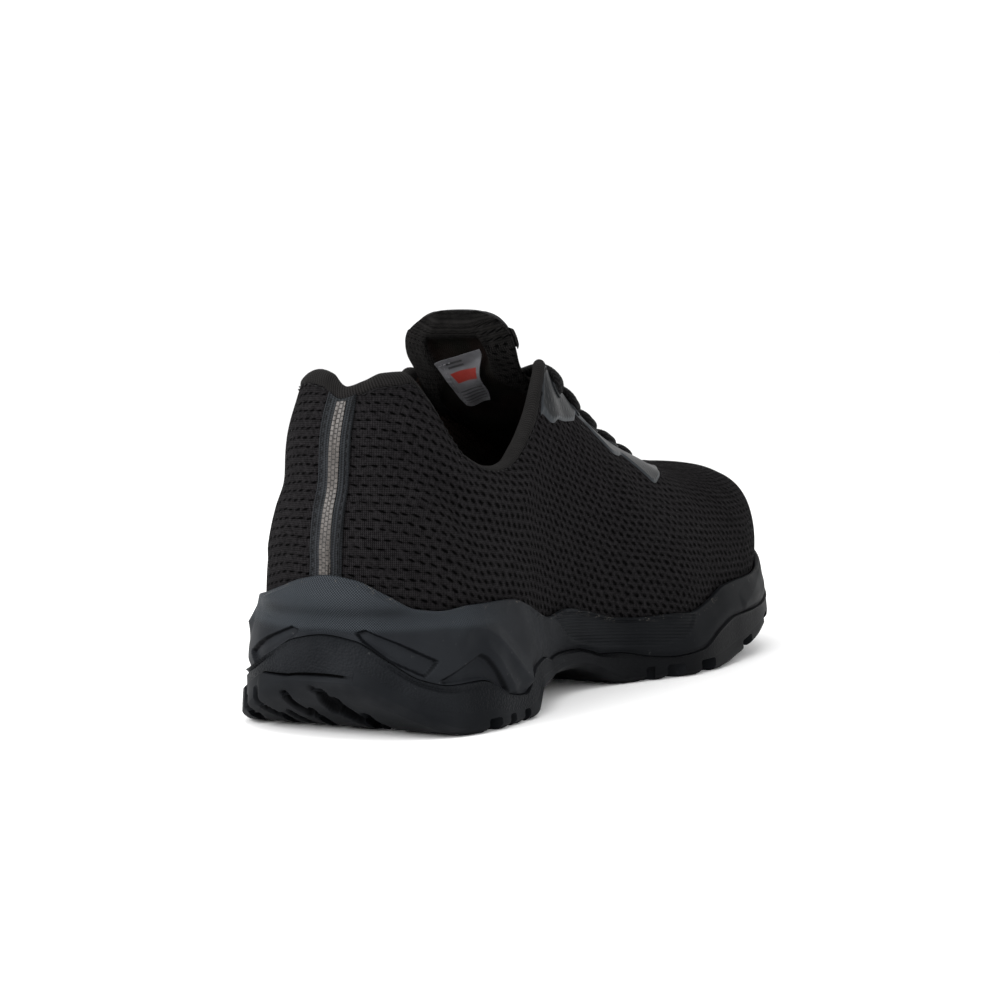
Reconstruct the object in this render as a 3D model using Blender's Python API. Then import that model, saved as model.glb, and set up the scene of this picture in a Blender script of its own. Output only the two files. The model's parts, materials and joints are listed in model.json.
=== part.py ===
# A left safety sneaker, made of the pieces that its maker puts together: a lugged outsole, a
# midsole cup, a padded mesh upper, an insole, a tongue with its tab, an eyestay film, a heel
# tape and the crossings of the lace.
# Metres. +X runs to the toe, +Y to the outer side of the foot, +Z up. The origin is on the
# floor, under the middle of the heel seat.

import math

import bmesh
import bpy
import numpy as np

# Driving sizes of the last and the sole
LENGTH = 0.298
HEEL_WIDTH = 0.084
WAIST_WIDTH = 0.070
BALL_WIDTH = 0.1035
HEEL_SEAT = 0.045
HEEL_STACK = 0.026
ARCH_RISE = 0.0085
TOE_SPRING = 0.022
SIDEWALL_HEIGHT = 0.047
WRAP_HEIGHT = 0.030
HEEL_BEVEL = 0.015
PAD_STEP = 0.0014
EDGE_BEVEL = 0.0022

# Driving sizes of the upper
HEEL_HEIGHT = 0.1015
ANKLE_HEIGHT = 0.0766
INSTEP_HEIGHT = 0.107
TOE_HEIGHT = 0.0702
THROAT_TOP = 0.75 * INSTEP_HEIGHT + 0.25 * TOE_HEIGHT
THROAT_MIDDLE = 0.50 * INSTEP_HEIGHT + 0.50 * TOE_HEIGHT
THROAT_FRONT = 0.25 * INSTEP_HEIGHT + 0.75 * TOE_HEIGHT
COLLAR_WIDTH = 0.058
THROAT_WIDTH = 0.030
UPPER_WALL = 0.0026
COLLAR_PAD = 0.0070
FEATHER_INSET = 0.0085

# Driving sizes of the small pieces
SOLE_PLATE = 0.0060
LUG_DEPTH = 0.0040
RIM = 0.0016
LIP = 0.0018
LEAN = 0.09
INSOLE_THICKNESS = 0.0045
EYESTAY_THICKNESS = 0.0008
TAPE_WIDTH = 0.012
TAPE_THICKNESS = 0.0008
TONGUE_THICKNESS = 0.0062
TONGUE_RISE = 0.0255
TONGUE_WIDTH = 0.040
TONGUE_SHIFT = 0.002
TAB_THICKNESS = 0.0009
LACE_WIDTH = 0.0066
LACE_THICKNESS = 0.0030
GAP = 0.0003
SKIN_GAP = 0.00045

PER_SIDE = 40
CLUSTER = 0.35
INNER, OUTER = -1.0, 1.0

# The sole seen from above. along is a share of LENGTH, swing moves the middle to the outer
# side as a share of BALL_WIDTH, and spread is the half width as a share of the local width.
PLAN_COLUMNS = ("along", "swing", "spread")
PLAN = (
    (0.000, 0.000, 0.000),
    (0.013, 0.010, 0.214),
    (0.040, 0.017, 0.348),
    (0.084, 0.024, 0.452),
    (0.150, 0.024, 0.500),
    (0.235, 0.025, 0.500),
    (0.275, 0.031, 0.502),
    (0.319, 0.046, 0.500),
    (0.376, 0.057, 0.504),
    (0.436, 0.054, 0.508),
    (0.487, 0.043, 0.506),
    (0.537, 0.024, 0.512),
    (0.594, 0.007, 0.508),
    (0.654, 0.007, 0.498),
    (0.721, 0.012, 0.500),
    (0.789, 0.010, 0.488),
    (0.856, 0.000, 0.444),
    (0.913, -0.014, 0.362),
    (0.960, -0.024, 0.239),
    (0.987, -0.034, 0.130),
    (1.000, -0.039, 0.000),
)

# The sole's side, by station: the share of the way round from the heel's back to the toe.
# top is the midsole's upper edge as a share of SIDEWALL_HEIGHT, wrap the outsole's upper edge
# as a share of WRAP_HEIGHT, and pad how far the crash pad stands out, as a share of PAD_STEP.
# bevel is the under-edge as a share of HEEL_BEVEL, and lean how far the wall leans in as it
# rises, as a share of LEAN.
SIDE_COLUMNS = (
    "station", "top_in", "top_out", "wrap_in", "wrap_out", "pad_in", "pad_out", "bevel", "lean",
)
SIDE = (
    (0.000, 1.00, 1.00, 1.00, 1.00, 1.0, 1.0, 0.13, 1.0),
    (0.030, 0.97, 0.97, 0.95, 0.95, 0.0, 1.0, 0.13, 1.0),
    (0.060, 0.88, 0.91, 0.76, 0.80, 0.0, 1.0, 0.13, 1.0),
    (0.090, 0.79, 0.86, 0.57, 0.65, 0.0, 1.0, 0.13, 1.0),
    (0.120, 0.77, 0.83, 0.50, 0.55, 0.0, 0.9, 0.13, 1.0),
    (0.155, 0.79, 0.80, 0.51, 0.49, 0.0, 0.5, 0.13, 1.0),
    (0.200, 0.79, 0.78, 0.32, 0.43, 0.0, 0.0, 0.13, 1.0),
    (0.230, 0.78, 0.77, 0.28, 0.35, 0.0, 0.0, 0.13, 1.0),
    (0.260, 0.73, 0.74, 0.52, 0.32, 0.0, 0.0, 0.13, 1.0),
    (0.285, 0.67, 0.71, 0.56, 0.40, 0.0, 0.0, 0.13, 1.0),
    (0.310, 0.62, 0.68, 0.51, 0.47, 0.0, 0.0, 0.13, 1.0),
    (0.345, 0.58, 0.64, 0.45, 0.46, 0.0, 0.0, 0.13, 1.0),
    (0.386, 0.60, 0.61, 0.42, 0.42, 0.0, 0.0, 0.13, 1.0),
    (0.430, 0.55, 0.56, 0.38, 0.38, 0.0, 0.0, 0.13, 1.0),
    (0.480, 0.47, 0.50, 0.35, 0.34, 0.0, 0.0, 0.13, 1.0),
    (0.522, 0.45, 0.47, 0.27, 0.28, 0.0, 0.0, 0.13, 1.0),
    (0.555, 0.45, 0.45, 0.24, 0.25, 0.0, 0.0, 0.13, 1.0),
    (0.600, 0.44, 0.44, 0.28, 0.27, 0.0, 0.0, 0.13, 1.0),
    (0.645, 0.49, 0.46, 0.45, 0.35, 0.0, 0.0, 0.13, 0.9),
    (0.695, 0.58, 0.49, 0.56, 0.46, 0.0, 0.0, 0.13, 0.8),
    (0.740, 0.60, 0.53, 0.57, 0.52, 0.0, 0.0, 0.13, 0.7),
    (0.800, 0.61, 0.58, 0.60, 0.58, 0.0, 0.0, 0.20, 0.5),
    (0.850, 0.66, 0.65, 0.68, 0.68, 0.0, 0.0, 0.26, 0.3),
    (0.900, 0.77, 0.76, 0.83, 0.83, 0.0, 0.0, 0.32, 0.1),
    (0.950, 0.88, 0.87, 1.00, 1.00, 0.0, 0.0, 0.36, 0.0),
    (1.000, 0.92, 0.92, 1.08, 1.08, 0.0, 0.0, 0.36, 0.0),
)

# The tread's height off the floor: a share of HEEL_BEVEL behind the heel's rest, of ARCH_RISE
# at the waist and of TOE_SPRING at the toe. Between them heel and forefoot rest on the floor.
UNDER_COLUMNS = ("along", "heel", "arch", "spring")
UNDER = (
    (0.000, 1.00, 0.00, 0.00),
    (0.020, 0.66, 0.00, 0.00),
    (0.045, 0.31, 0.00, 0.00),
    (0.072, 0.07, 0.00, 0.00),
    (0.097, 0.00, 0.00, 0.00),
    (0.222, 0.00, 0.00, 0.00),
    (0.240, 0.00, 0.85, 0.00),
    (0.300, 0.00, 1.00, 0.00),
    (0.400, 0.00, 0.92, 0.00),
    (0.440, 0.00, 0.62, 0.00),
    (0.472, 0.00, 0.12, 0.00),
    (0.490, 0.00, 0.00, 0.00),
    (0.658, 0.00, 0.00, 0.00),
    (0.725, 0.00, 0.00, 0.11),
    (0.782, 0.00, 0.00, 0.23),
    (0.852, 0.00, 0.00, 0.41),
    (0.906, 0.00, 0.00, 0.58),
    (0.956, 0.00, 0.00, 0.79),
    (1.000, 0.00, 0.00, 1.00),
)

# The footbed inside the midsole cup, as a share of HEEL_STACK.
BED_COLUMNS = ("along", "bed")
BED = (
    (0.000, 1.04),
    (0.150, 1.00),
    (0.270, 0.98),
    (0.376, 0.86),
    (0.503, 0.68),
    (0.654, 0.60),
    (0.789, 0.70),
    (0.906, 0.95),
    (1.000, 1.22),
)

# The upper's opening, by station. Its edge is at along of LENGTH, in_ and out_ of half the
# named width, and up_in and up_out of the named height.
EDGE_COLUMNS = ("station", "along", "width", "in_", "out_", "height", "up_in", "up_out")
EDGE = (
    (0.000, 0.047, COLLAR_WIDTH, 0.00, 0.00, HEEL_HEIGHT, 0.964, 0.964),
    (0.030, 0.050, COLLAR_WIDTH, 0.20, 0.22, HEEL_HEIGHT, 0.980, 1.002),
    (0.060, 0.057, COLLAR_WIDTH, 0.39, 0.41, HEEL_HEIGHT, 1.001, 1.012),
    (0.100, 0.074, COLLAR_WIDTH, 0.59, 0.62, HEEL_HEIGHT, 1.005, 0.996),
    (0.134, 0.096, COLLAR_WIDTH, 0.74, 0.77, HEEL_HEIGHT, 0.935, 0.935),
    (0.163, 0.116, COLLAR_WIDTH, 0.84, 0.87, ANKLE_HEIGHT, 1.125, 1.120),
    (0.193, 0.143, COLLAR_WIDTH, 0.93, 0.96, ANKLE_HEIGHT, 1.015, 1.010),
    (0.228, 0.181, COLLAR_WIDTH, 1.00, 1.03, ANKLE_HEIGHT, 0.960, 0.945),
    (0.251, 0.207, COLLAR_WIDTH, 1.00, 1.03, ANKLE_HEIGHT, 0.955, 0.930),
    (0.280, 0.239, COLLAR_WIDTH, 0.99, 1.02, ANKLE_HEIGHT, 0.975, 0.945),
    (0.310, 0.267, COLLAR_WIDTH, 0.96, 1.00, ANKLE_HEIGHT, 1.045, 1.005),
    (0.340, 0.292, COLLAR_WIDTH, 0.93, 0.97, INSTEP_HEIGHT, 0.825, 0.800),
    (0.385, 0.323, COLLAR_WIDTH, 0.87, 0.91, INSTEP_HEIGHT, 0.955, 0.930),
    (0.410, 0.342, COLLAR_WIDTH, 0.82, 0.86, INSTEP_HEIGHT, 1.000, 0.975),
    (0.435, 0.367, COLLAR_WIDTH, 0.73, 0.77, INSTEP_HEIGHT, 0.982, 0.962),
    (0.473, 0.410, THROAT_WIDTH, 1.22, 1.26, INSTEP_HEIGHT, 0.930, 0.918),
    (0.519, 0.470, THROAT_WIDTH, 1.02, 1.04, THROAT_TOP, 0.939, 0.932),
    (0.551, 0.513, THROAT_WIDTH, 0.92, 0.94, THROAT_MIDDLE, 0.981, 0.976),
    (0.582, 0.554, THROAT_WIDTH, 0.85, 0.86, THROAT_FRONT, 1.032, 1.030),
    (0.626, 0.607, THROAT_WIDTH, 0.77, 0.77, TOE_HEIGHT, 1.092, 1.090),
    (0.655, 0.638, THROAT_WIDTH, 0.71, 0.71, TOE_HEIGHT, 1.050, 1.050),
    (0.700, 0.671, THROAT_WIDTH, 0.62, 0.62, TOE_HEIGHT, 1.012, 1.012),
    (0.742, 0.691, THROAT_WIDTH, 0.53, 0.53, TOE_HEIGHT, 0.995, 0.995),
    (0.786, 0.703, THROAT_WIDTH, 0.43, 0.43, TOE_HEIGHT, 0.987, 0.987),
    (0.850, 0.712, THROAT_WIDTH, 0.28, 0.28, TOE_HEIGHT, 0.984, 0.984),
    (0.920, 0.717, THROAT_WIDTH, 0.14, 0.14, TOE_HEIGHT, 0.983, 0.983),
    (1.000, 0.719, THROAT_WIDTH, 0.00, 0.00, TOE_HEIGHT, 0.983, 0.983),
)

# How the upper's wall curves from the sole to that edge. inset is where it starts, in from the
# sole's outline as a share of FEATHER_INSET. belly and roll push its lower and upper handles
# outwards, as shares of BALL_WIDTH. rise and drop are the handles' heights, as shares of the
# wall's own height.
FORM_COLUMNS = ("station", "inset", "belly", "rise", "roll", "drop")
FORM = (
    (0.00, 1.00, 0.040, 0.34, 0.050, 0.26),
    (0.10, 1.00, 0.038, 0.34, 0.046, 0.28),
    (0.18, 1.00, 0.036, 0.32, 0.034, 0.28),
    (0.25, 0.95, 0.034, 0.30, 0.026, 0.28),
    (0.31, 0.74, 0.042, 0.32, 0.028, 0.26),
    (0.36, 0.52, 0.054, 0.36, 0.036, 0.22),
    (0.41, 0.42, 0.060, 0.40, 0.050, 0.16),
    (0.47, 0.55, 0.052, 0.42, 0.110, 0.08),
    (0.53, 0.80, 0.040, 0.44, 0.165, 0.05),
    (0.58, 0.95, 0.032, 0.46, 0.200, 0.04),
    (0.70, 1.00, 0.034, 0.56, 0.290, -0.01),
    (0.79, 0.90, 0.050, 0.64, 0.360, -0.05),
    (0.88, 0.66, 0.060, 0.76, 0.440, -0.09),
    (1.00, 0.44, 0.064, 0.86, 0.510, -0.12),
)

# The eyestay film's lower border: its distance from the throat's edge, as a share of
# THROAT_WIDTH, scalloped between the eyelets. Its rear border slants back by FILM_SLANT of the
# way round, from the throat's edge down.
SCALLOP_COLUMNS = ("station", "reach")
SCALLOP = (
    (0.405, 0.42),
    (0.420, 0.56),
    (0.438, 0.62),
    (0.464, 0.50),
    (0.490, 0.32),
    (0.512, 0.32),
    (0.530, 0.44),
    (0.548, 0.60),
    (0.563, 0.57),
    (0.578, 0.50),
    (0.592, 0.66),
    (0.607, 0.84),
    (0.630, 0.74),
    (0.665, 0.56),
    (0.712, 0.45),
    (0.800, 0.37),
    (0.880, 0.30),
    (1.000, 0.26),
)
EYELETS = (0.443, 0.497, 0.546, 0.594, 0.645)
EYELET_INSET = 0.0065
FILM_SLANT = 0.032
CLEAR = 0.0026
RIDE = 0.0031
CROWN = 0.0006

# The tread's grooves. along is the middle's share of LENGTH, across its share of the local half
# width, towards the outer side, turn the groove's angle from straight across in degrees,
# width its width in metres, and reach its length as a share of the local half width.
GROOVE_COLUMNS = ("along", "across", "turn", "width", "reach")
GROOVES = (
    (0.040, 0.66, 84, 0.0034, 0.62),
    (0.036, 0.40, 88, 0.0036, 0.66),
    (0.034, 0.10, 92, 0.0036, 0.66),
    (0.036, -0.24, 97, 0.0034, 0.54),
    (0.083, 0.20, 4, 0.0040, 1.30),
    (0.121, -0.84, 10, 0.0062, 0.90),
    (0.155, -0.84, 10, 0.0040, 0.80),
    (0.188, -0.84, 12, 0.0042, 0.90),
    (0.130, 0.86, -10, 0.0050, 0.80),
    (0.168, 0.86, -10, 0.0042, 0.90),
    (0.205, 0.86, -12, 0.0042, 0.80),
    (0.497, -0.66, 22, 0.0046, 0.96),
    (0.539, -0.76, 18, 0.0066, 0.90),
    (0.606, -0.76, 12, 0.0104, 0.80),
    (0.672, -0.62, 8, 0.0044, 0.44),
    (0.745, -0.76, 6, 0.0108, 0.80),
    (0.850, -0.74, -8, 0.0070, 0.80),
    (0.505, 0.74, -20, 0.0050, 0.90),
    (0.556, 0.76, -16, 0.0064, 0.90),
    (0.622, 0.76, -12, 0.0096, 0.80),
    (0.690, 0.76, -8, 0.0058, 0.80),
    (0.765, 0.76, -2, 0.0092, 0.80),
    (0.860, 0.74, 10, 0.0066, 0.80),
    (0.640, 0.00, 90, 0.0050, 1.20),
    (0.820, 0.00, 90, 0.0046, 0.80),
)


def column(table, columns, name):
    """One named column of a table, as an array."""
    return np.array([row[columns.index(name)] for row in table], float)


def through(at, knots, values, level_ends=True):
    """A smooth curve through the knots that doesn't overshoot them: a monotone cubic."""
    knots = np.asarray(knots, float)
    values = np.asarray(values, float)
    step = np.diff(knots)
    slope = np.diff(values) / step
    same = slope[:-1] * slope[1:] > 0
    safe = np.where(same, slope[:-1] * slope[1:], 1.0)
    tangent = np.zeros(len(knots))
    tangent[1:-1] = np.where(same, 2 * safe / np.where(same, slope[:-1] + slope[1:], 1.0), 0.0)
    if not level_ends:
        tangent[0], tangent[-1] = slope[0], slope[-1]
    at = np.clip(at, knots[0], knots[-1])
    i = np.clip(np.searchsorted(knots, at, side="right") - 1, 0, len(step) - 1)
    t = (at - knots[i]) / step[i]
    start = values[i] * (1 + 2 * t) * (1 - t) ** 2 + tangent[i] * step[i] * t * (1 - t) ** 2
    end = values[i + 1] * t * t * (3 - 2 * t) + tangent[i + 1] * step[i] * t * t * (t - 1)
    return start + end


def local_width(along):
    """The width that belongs to a place along the sole: heel, waist or ball."""
    return through(along, (0.20, 0.39, 0.655), (HEEL_WIDTH, WAIST_WIDTH, BALL_WIDTH))


def outline(side):
    """One side of the sole's outline from the heel's back to the toe: share of the way, x, y
    and the outward normal at many close points."""
    turn = np.linspace(0, math.pi, 1200)
    along = (1 - np.cos(turn)) / 2
    knots = np.arccos(1 - 2 * column(PLAN, PLAN_COLUMNS, "along"))
    swing = through(turn, knots, column(PLAN, PLAN_COLUMNS, "swing"))
    spread = through(turn, knots, column(PLAN, PLAN_COLUMNS, "spread"), level_ends=False)
    x = along * LENGTH - HEEL_SEAT
    y = swing * BALL_WIDTH + side * spread * local_width(along)
    way = np.concatenate([[0], np.cumsum(np.hypot(np.diff(x), np.diff(y)))])
    dx, dy = np.gradient(x), np.gradient(y)
    dx[0] = dx[-1] = 0.0
    size = np.hypot(dx, dy)
    return way / way[-1], x, y, -side * dy / size, side * dx / size


OUTLINES = {INNER: outline(INNER), OUTER: outline(OUTER)}


def by_side(side, inner, outer):
    """Takes the inner value where side is INNER, and the outer one elsewhere."""
    return np.where(np.asarray(side) < 0, inner, outer)


def plan(station, side, out=0.0):
    """Points of the outline in plan, moved outwards by out: x and y."""
    found = []
    for which in (INNER, OUTER):
        way, x, y, nx, ny = OUTLINES[which]
        found.append([np.interp(station, way, v) for v in (x, y, nx, ny)])
    x, y, nx, ny = [by_side(side, a, b) for a, b in zip(*found)]
    return x + nx * out, y + ny * out


def outward(station, side):
    """The outline's outward normal in plan."""
    x0, y0 = plan(station, side)
    x1, y1 = plan(station, side, 1.0)
    return x1 - x0, y1 - y0


def share_along(x):
    return np.clip((np.asarray(x) + HEEL_SEAT) / LENGTH, 0, 1)


def ring():
    """Stations and sides once round the shoe: from the heel's back along the inner side to
    the toe, and back along the outer side. They are closer together at heel and toe."""
    t = np.arange(PER_SIDE + 1) / PER_SIDE
    station = t - CLUSTER * np.sin(2 * math.pi * t) / (2 * math.pi)
    side = np.concatenate([np.full(PER_SIDE + 1, INNER), np.full(PER_SIDE - 1, OUTER)])
    return np.concatenate([station, station[-2:0:-1]]), side


STATION, SIDES = ring()


def side_level(name, station, side):
    """A level of the sole's side, as a share: top, wrap or pad."""
    knots = column(SIDE, SIDE_COLUMNS, "station")
    inner = through(station, knots, column(SIDE, SIDE_COLUMNS, name + "_in"))
    outer = through(station, knots, column(SIDE, SIDE_COLUMNS, name + "_out"))
    return by_side(side, inner, outer)


def tread_level(x):
    """The height of the lugs' undersides."""
    knots = column(UNDER, UNDER_COLUMNS, "along")
    heel, arch, spring = [
        through(share_along(x), knots, column(UNDER, UNDER_COLUMNS, name))
        for name in UNDER_COLUMNS[1:]
    ]
    return heel * HEEL_BEVEL + arch * ARCH_RISE + spring * TOE_SPRING


def bed_level(x):
    """The height of the midsole cup's floor, under the insole."""
    knots = column(BED, BED_COLUMNS, "along")
    return HEEL_STACK * through(share_along(x), knots, column(BED, BED_COLUMNS, "bed"))


def edge_point(station, side):
    """The upper's opening edge: x, y and z."""
    knots = column(EDGE, EDGE_COLUMNS, "station")
    x = through(station, knots, column(EDGE, EDGE_COLUMNS, "along")) * LENGTH - HEEL_SEAT
    width = column(EDGE, EDGE_COLUMNS, "width") / 2
    height = column(EDGE, EDGE_COLUMNS, "height")
    y_in = through(station, knots, width * column(EDGE, EDGE_COLUMNS, "in_"), level_ends=False)
    y_out = through(station, knots, width * column(EDGE, EDGE_COLUMNS, "out_"), level_ends=False)
    z_in = through(station, knots, height * column(EDGE, EDGE_COLUMNS, "up_in"))
    z_out = through(station, knots, height * column(EDGE, EDGE_COLUMNS, "up_out"))
    return x, by_side(side, -y_in, y_out), by_side(side, z_in, z_out)


def upper_point(station, side, v):
    """The upper's outer face, v from 0 at the sole to 1 at the opening: a cubic curve whose
    two handles the FORM table gives."""
    station, side, v = np.broadcast_arrays(station, side, v)
    knots = column(FORM, FORM_COLUMNS, "station")
    inset, belly, rise, roll, drop = [
        through(station, knots, column(FORM, FORM_COLUMNS, name)) for name in FORM_COLUMNS[1:]
    ]
    nx, ny = outward(station, side)
    x0, y0 = plan(station, side, -FEATHER_INSET * inset)
    z0 = bed_level(x0) + GAP
    x3, y3, z3 = edge_point(station, side)
    tall = z3 - z0
    start = np.stack([x0, y0, z0], -1)
    end = np.stack([x3, y3, z3], -1)
    out = np.stack([nx, ny, np.zeros_like(nx)], -1) * BALL_WIDTH
    up = np.stack([np.zeros_like(nx), np.zeros_like(nx), tall], -1)
    low = start + out * belly[..., None] + up * rise[..., None]
    high = end + out * roll[..., None] - up * drop[..., None]
    v = v[..., None]
    return (
        start * (1 - v) ** 3
        + low * 3 * v * (1 - v) ** 2
        + high * 3 * v * v * (1 - v)
        + end * v**3
    )


def upper_normal(station, side, v):
    """The outward normal of the upper's face."""
    small = 1e-3
    station, side, v = np.broadcast_arrays(station, side, v)
    station, v = station.astype(float), v.astype(float)

    def stepped(amount):
        """The point a little further round the ring, across heel and toe where it must."""
        moved = station + amount * -side
        turned = (moved < 0) | (moved > 1)
        moved = np.where(moved < 0, -moved, np.where(moved > 1, 2 - moved, moved))
        return upper_point(moved, np.where(turned, -side, side), v)

    round_ = stepped(small) - stepped(-small)
    high, low = np.minimum(v + small, 1), np.maximum(v - small, 0)
    up = upper_point(station, side, high) - upper_point(station, side, low)
    n = np.cross(round_, up)
    return n / np.linalg.norm(n, axis=-1)[..., None]


def wall_thickness(station, v):
    """The upper's wall: plain mesh and lining, with the collar's foam round the ankle."""
    back = 1 - through(station, (0.26, 0.40), (0.0, 1.0))
    pad = back * through(v, (0.35, 0.80), (0.0, 1.0))
    return UPPER_WALL + (COLLAR_PAD - UPPER_WALL) * pad


def upper_skin(station, side, v, out):
    """A point off the upper's outer face by out, outwards."""
    return upper_point(station, side, v) + upper_normal(station, side, v) * np.asarray(out)[..., None]


def v_at_height(station, side, z):
    """The v at which the upper's face has the height z, near the sole."""
    v = np.linspace(0, 1, 81)
    rows = upper_point(station[:, None], side[:, None], v[None, :])[..., 2]
    climb = np.maximum.accumulate(rows, axis=1)
    return np.array([np.interp(height, line, v) for height, line in zip(z, climb)])


def ring_at(out, z):
    """A ring of the sole: the outline moved outwards by out, at the height z."""
    x, y = plan(STATION, SIDES, out)
    return np.stack([x, y, np.broadcast_to(z, x.shape)], -1)


def material(name, colour, roughness):
    """A plain finish in the piece's own colour."""
    made = bpy.data.materials.new(name)
    made.use_nodes = True
    shader = made.node_tree.nodes["Principled BSDF"]
    shader.inputs["Base Color"].default_value = (*colour, 1.0)
    shader.inputs["Roughness"].default_value = roughness
    return made


def add_mesh(name, points, faces, collection, finish=None):
    """A named object from points and faces, its normals facing out."""
    mesh = bpy.data.meshes.new(name)
    mesh.from_pydata([tuple(p) for p in points], [], faces)
    shape = bmesh.new()
    shape.from_mesh(mesh)
    bmesh.ops.remove_doubles(shape, verts=shape.verts, dist=1e-6)
    bmesh.ops.recalc_face_normals(shape, faces=shape.faces)
    shape.to_mesh(mesh)
    shape.free()
    mesh.shade_smooth()
    mesh.set_sharp_from_angle(angle=math.radians(40))
    if finish:
        mesh.materials.append(finish)
    made = bpy.data.objects.new(name, mesh)
    collection.objects.link(made)
    return made


def bands(rows, count, closed_rows=False):
    """Faces between rings of count points each. closed_rows joins the last ring to the first."""
    faces = []
    for r in range(rows if closed_rows else rows - 1):
        here, there = r * count, ((r + 1) % rows) * count
        for i in range(count):
            j = (i + 1) % count
            faces.append((here + i, here + j, there + j, there + i))
    return faces


def across(start, count):
    """Faces that close a ring round the shoe, in strips from the inner to the outer side."""
    half = count // 2
    faces = [(start, start + 1, start + count - 1)]
    faces += [
        (start + i, start + i + 1, start + count - i - 1, start + count - i)
        for i in range(1, half - 1)
    ]
    faces.append((start + half - 1, start + half, start + half + 1))
    return faces


def cup(name, rings, collection, finish):
    """A solid from rings round the shoe, closed across its first and last ring."""
    count = len(rings[0])
    faces = bands(len(rings), count) + across(0, count) + across((len(rings) - 1) * count, count)
    return add_mesh(name, np.concatenate(rings), faces, collection, finish)


def sheet(name, outer, inner, collection, finish):
    """A thin solid between two grids of the same size: faces on both, and round the rim."""
    rows, columns = outer.shape[:2]
    back = rows * columns

    def at(r, c):
        return r * columns + c

    faces = []
    for r in range(rows - 1):
        for c in range(columns - 1):
            quad = (at(r, c), at(r, c + 1), at(r + 1, c + 1), at(r + 1, c))
            faces.append(quad)
            faces.append(tuple(back + i for i in reversed(quad)))
    rim = [at(0, c) for c in range(columns)]
    rim += [at(r, columns - 1) for r in range(1, rows)]
    rim += [at(rows - 1, c) for c in range(columns - 2, -1, -1)]
    rim += [at(r, 0) for r in range(rows - 2, 0, -1)]
    for a, b in zip(rim, rim[1:] + rim[:1]):
        faces.append((a, back + a, back + b, b))
    points = np.concatenate([outer.reshape(-1, 3), inner.reshape(-1, 3)])
    return add_mesh(name, points, faces, collection, finish)


def cut(target, cutters):
    """Cuts all of a collection's solids from the target."""
    modifier = target.modifiers.new("Cut", "BOOLEAN")
    modifier.operation = "DIFFERENCE"
    modifier.operand_type = "COLLECTION"
    modifier.collection = cutters
    modifier.solver = "EXACT"


def hide_helper(helper):
    helper.hide_render = True
    helper.display_type = "WIRE"


def sole_levels():
    """The heights and insets that outsole and midsole share, round the ring."""
    x, _ = plan(STATION, SIDES)
    tread = tread_level(x)
    knots = column(SIDE, SIDE_COLUMNS, "station")
    bevel = HEEL_BEVEL * through(STATION, knots, column(SIDE, SIDE_COLUMNS, "bevel"))
    wrap = side_level("wrap", STATION, SIDES) * WRAP_HEIGHT
    wrap = np.maximum(wrap, tread + SOLE_PLATE + GAP)
    lean = LEAN * wrap * through(STATION, knots, column(SIDE, SIDE_COLUMNS, "lean"))
    inset_x, _ = plan(STATION, SIDES, -lean - RIM)
    floor = np.minimum(tread_level(inset_x) + SOLE_PLATE, wrap - GAP)
    return tread, bevel, wrap, floor, lean


def make_outsole(collection, finish):
    tread, bevel, wrap, floor, lean = sole_levels()
    step = side_level("pad", STATION, SIDES) * PAD_STEP
    shoulder = tread + bevel
    rise = wrap - shoulder
    ledge = np.clip(shoulder + 0.10 * rise, HEEL_BEVEL * 1.16, shoulder + 0.55 * rise)
    ledge = np.where(step > 0, ledge, shoulder + 0.30 * rise)
    rings = [
        ring_at(-np.maximum(EDGE_BEVEL, bevel), tread),
        ring_at(0.0, shoulder),
        ring_at(-lean * 0.25, ledge),
        ring_at(-lean * 0.3 - step, ledge + GAP),
        ring_at(-lean * 0.75 - step * 0.6, (ledge + wrap) / 2),
        ring_at(-lean, wrap),
        ring_at(-lean - RIM, wrap),
        ring_at(-lean - RIM, floor),
    ]
    rings[0][:, 2] = tread_level(rings[0][:, 0])
    return cup("outsole", rings, collection, finish)


def make_grooves(collection):
    """Bars that cut the tread between its lugs, each laid along the tread's own slope."""
    knots = column(PLAN, PLAN_COLUMNS, "along")
    for along, across_, turn, width, reach in GROOVES:
        half = float(local_width(along)) / 2
        middle = float(through(along, knots, column(PLAN, PLAN_COLUMNS, "swing"))) * BALL_WIDTH
        x = along * LENGTH - HEEL_SEAT
        rise = float(tread_level(x + 0.004) - tread_level(x - 0.004))
        bpy.ops.mesh.primitive_cube_add(size=1.0)
        bar = bpy.context.active_object
        bar.name = "groove"
        bar.scale = (width, half * reach, 2 * LUG_DEPTH)
        bar.rotation_mode = "ZYX"
        bar.rotation_euler = (0, -math.atan2(rise, 0.008), math.radians(turn))
        bar.location = (x, middle + half * across_, float(tread_level(x)))
        for owner in list(bar.users_collection):
            owner.objects.unlink(bar)
        collection.objects.link(bar)
        hide_helper(bar)


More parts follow.
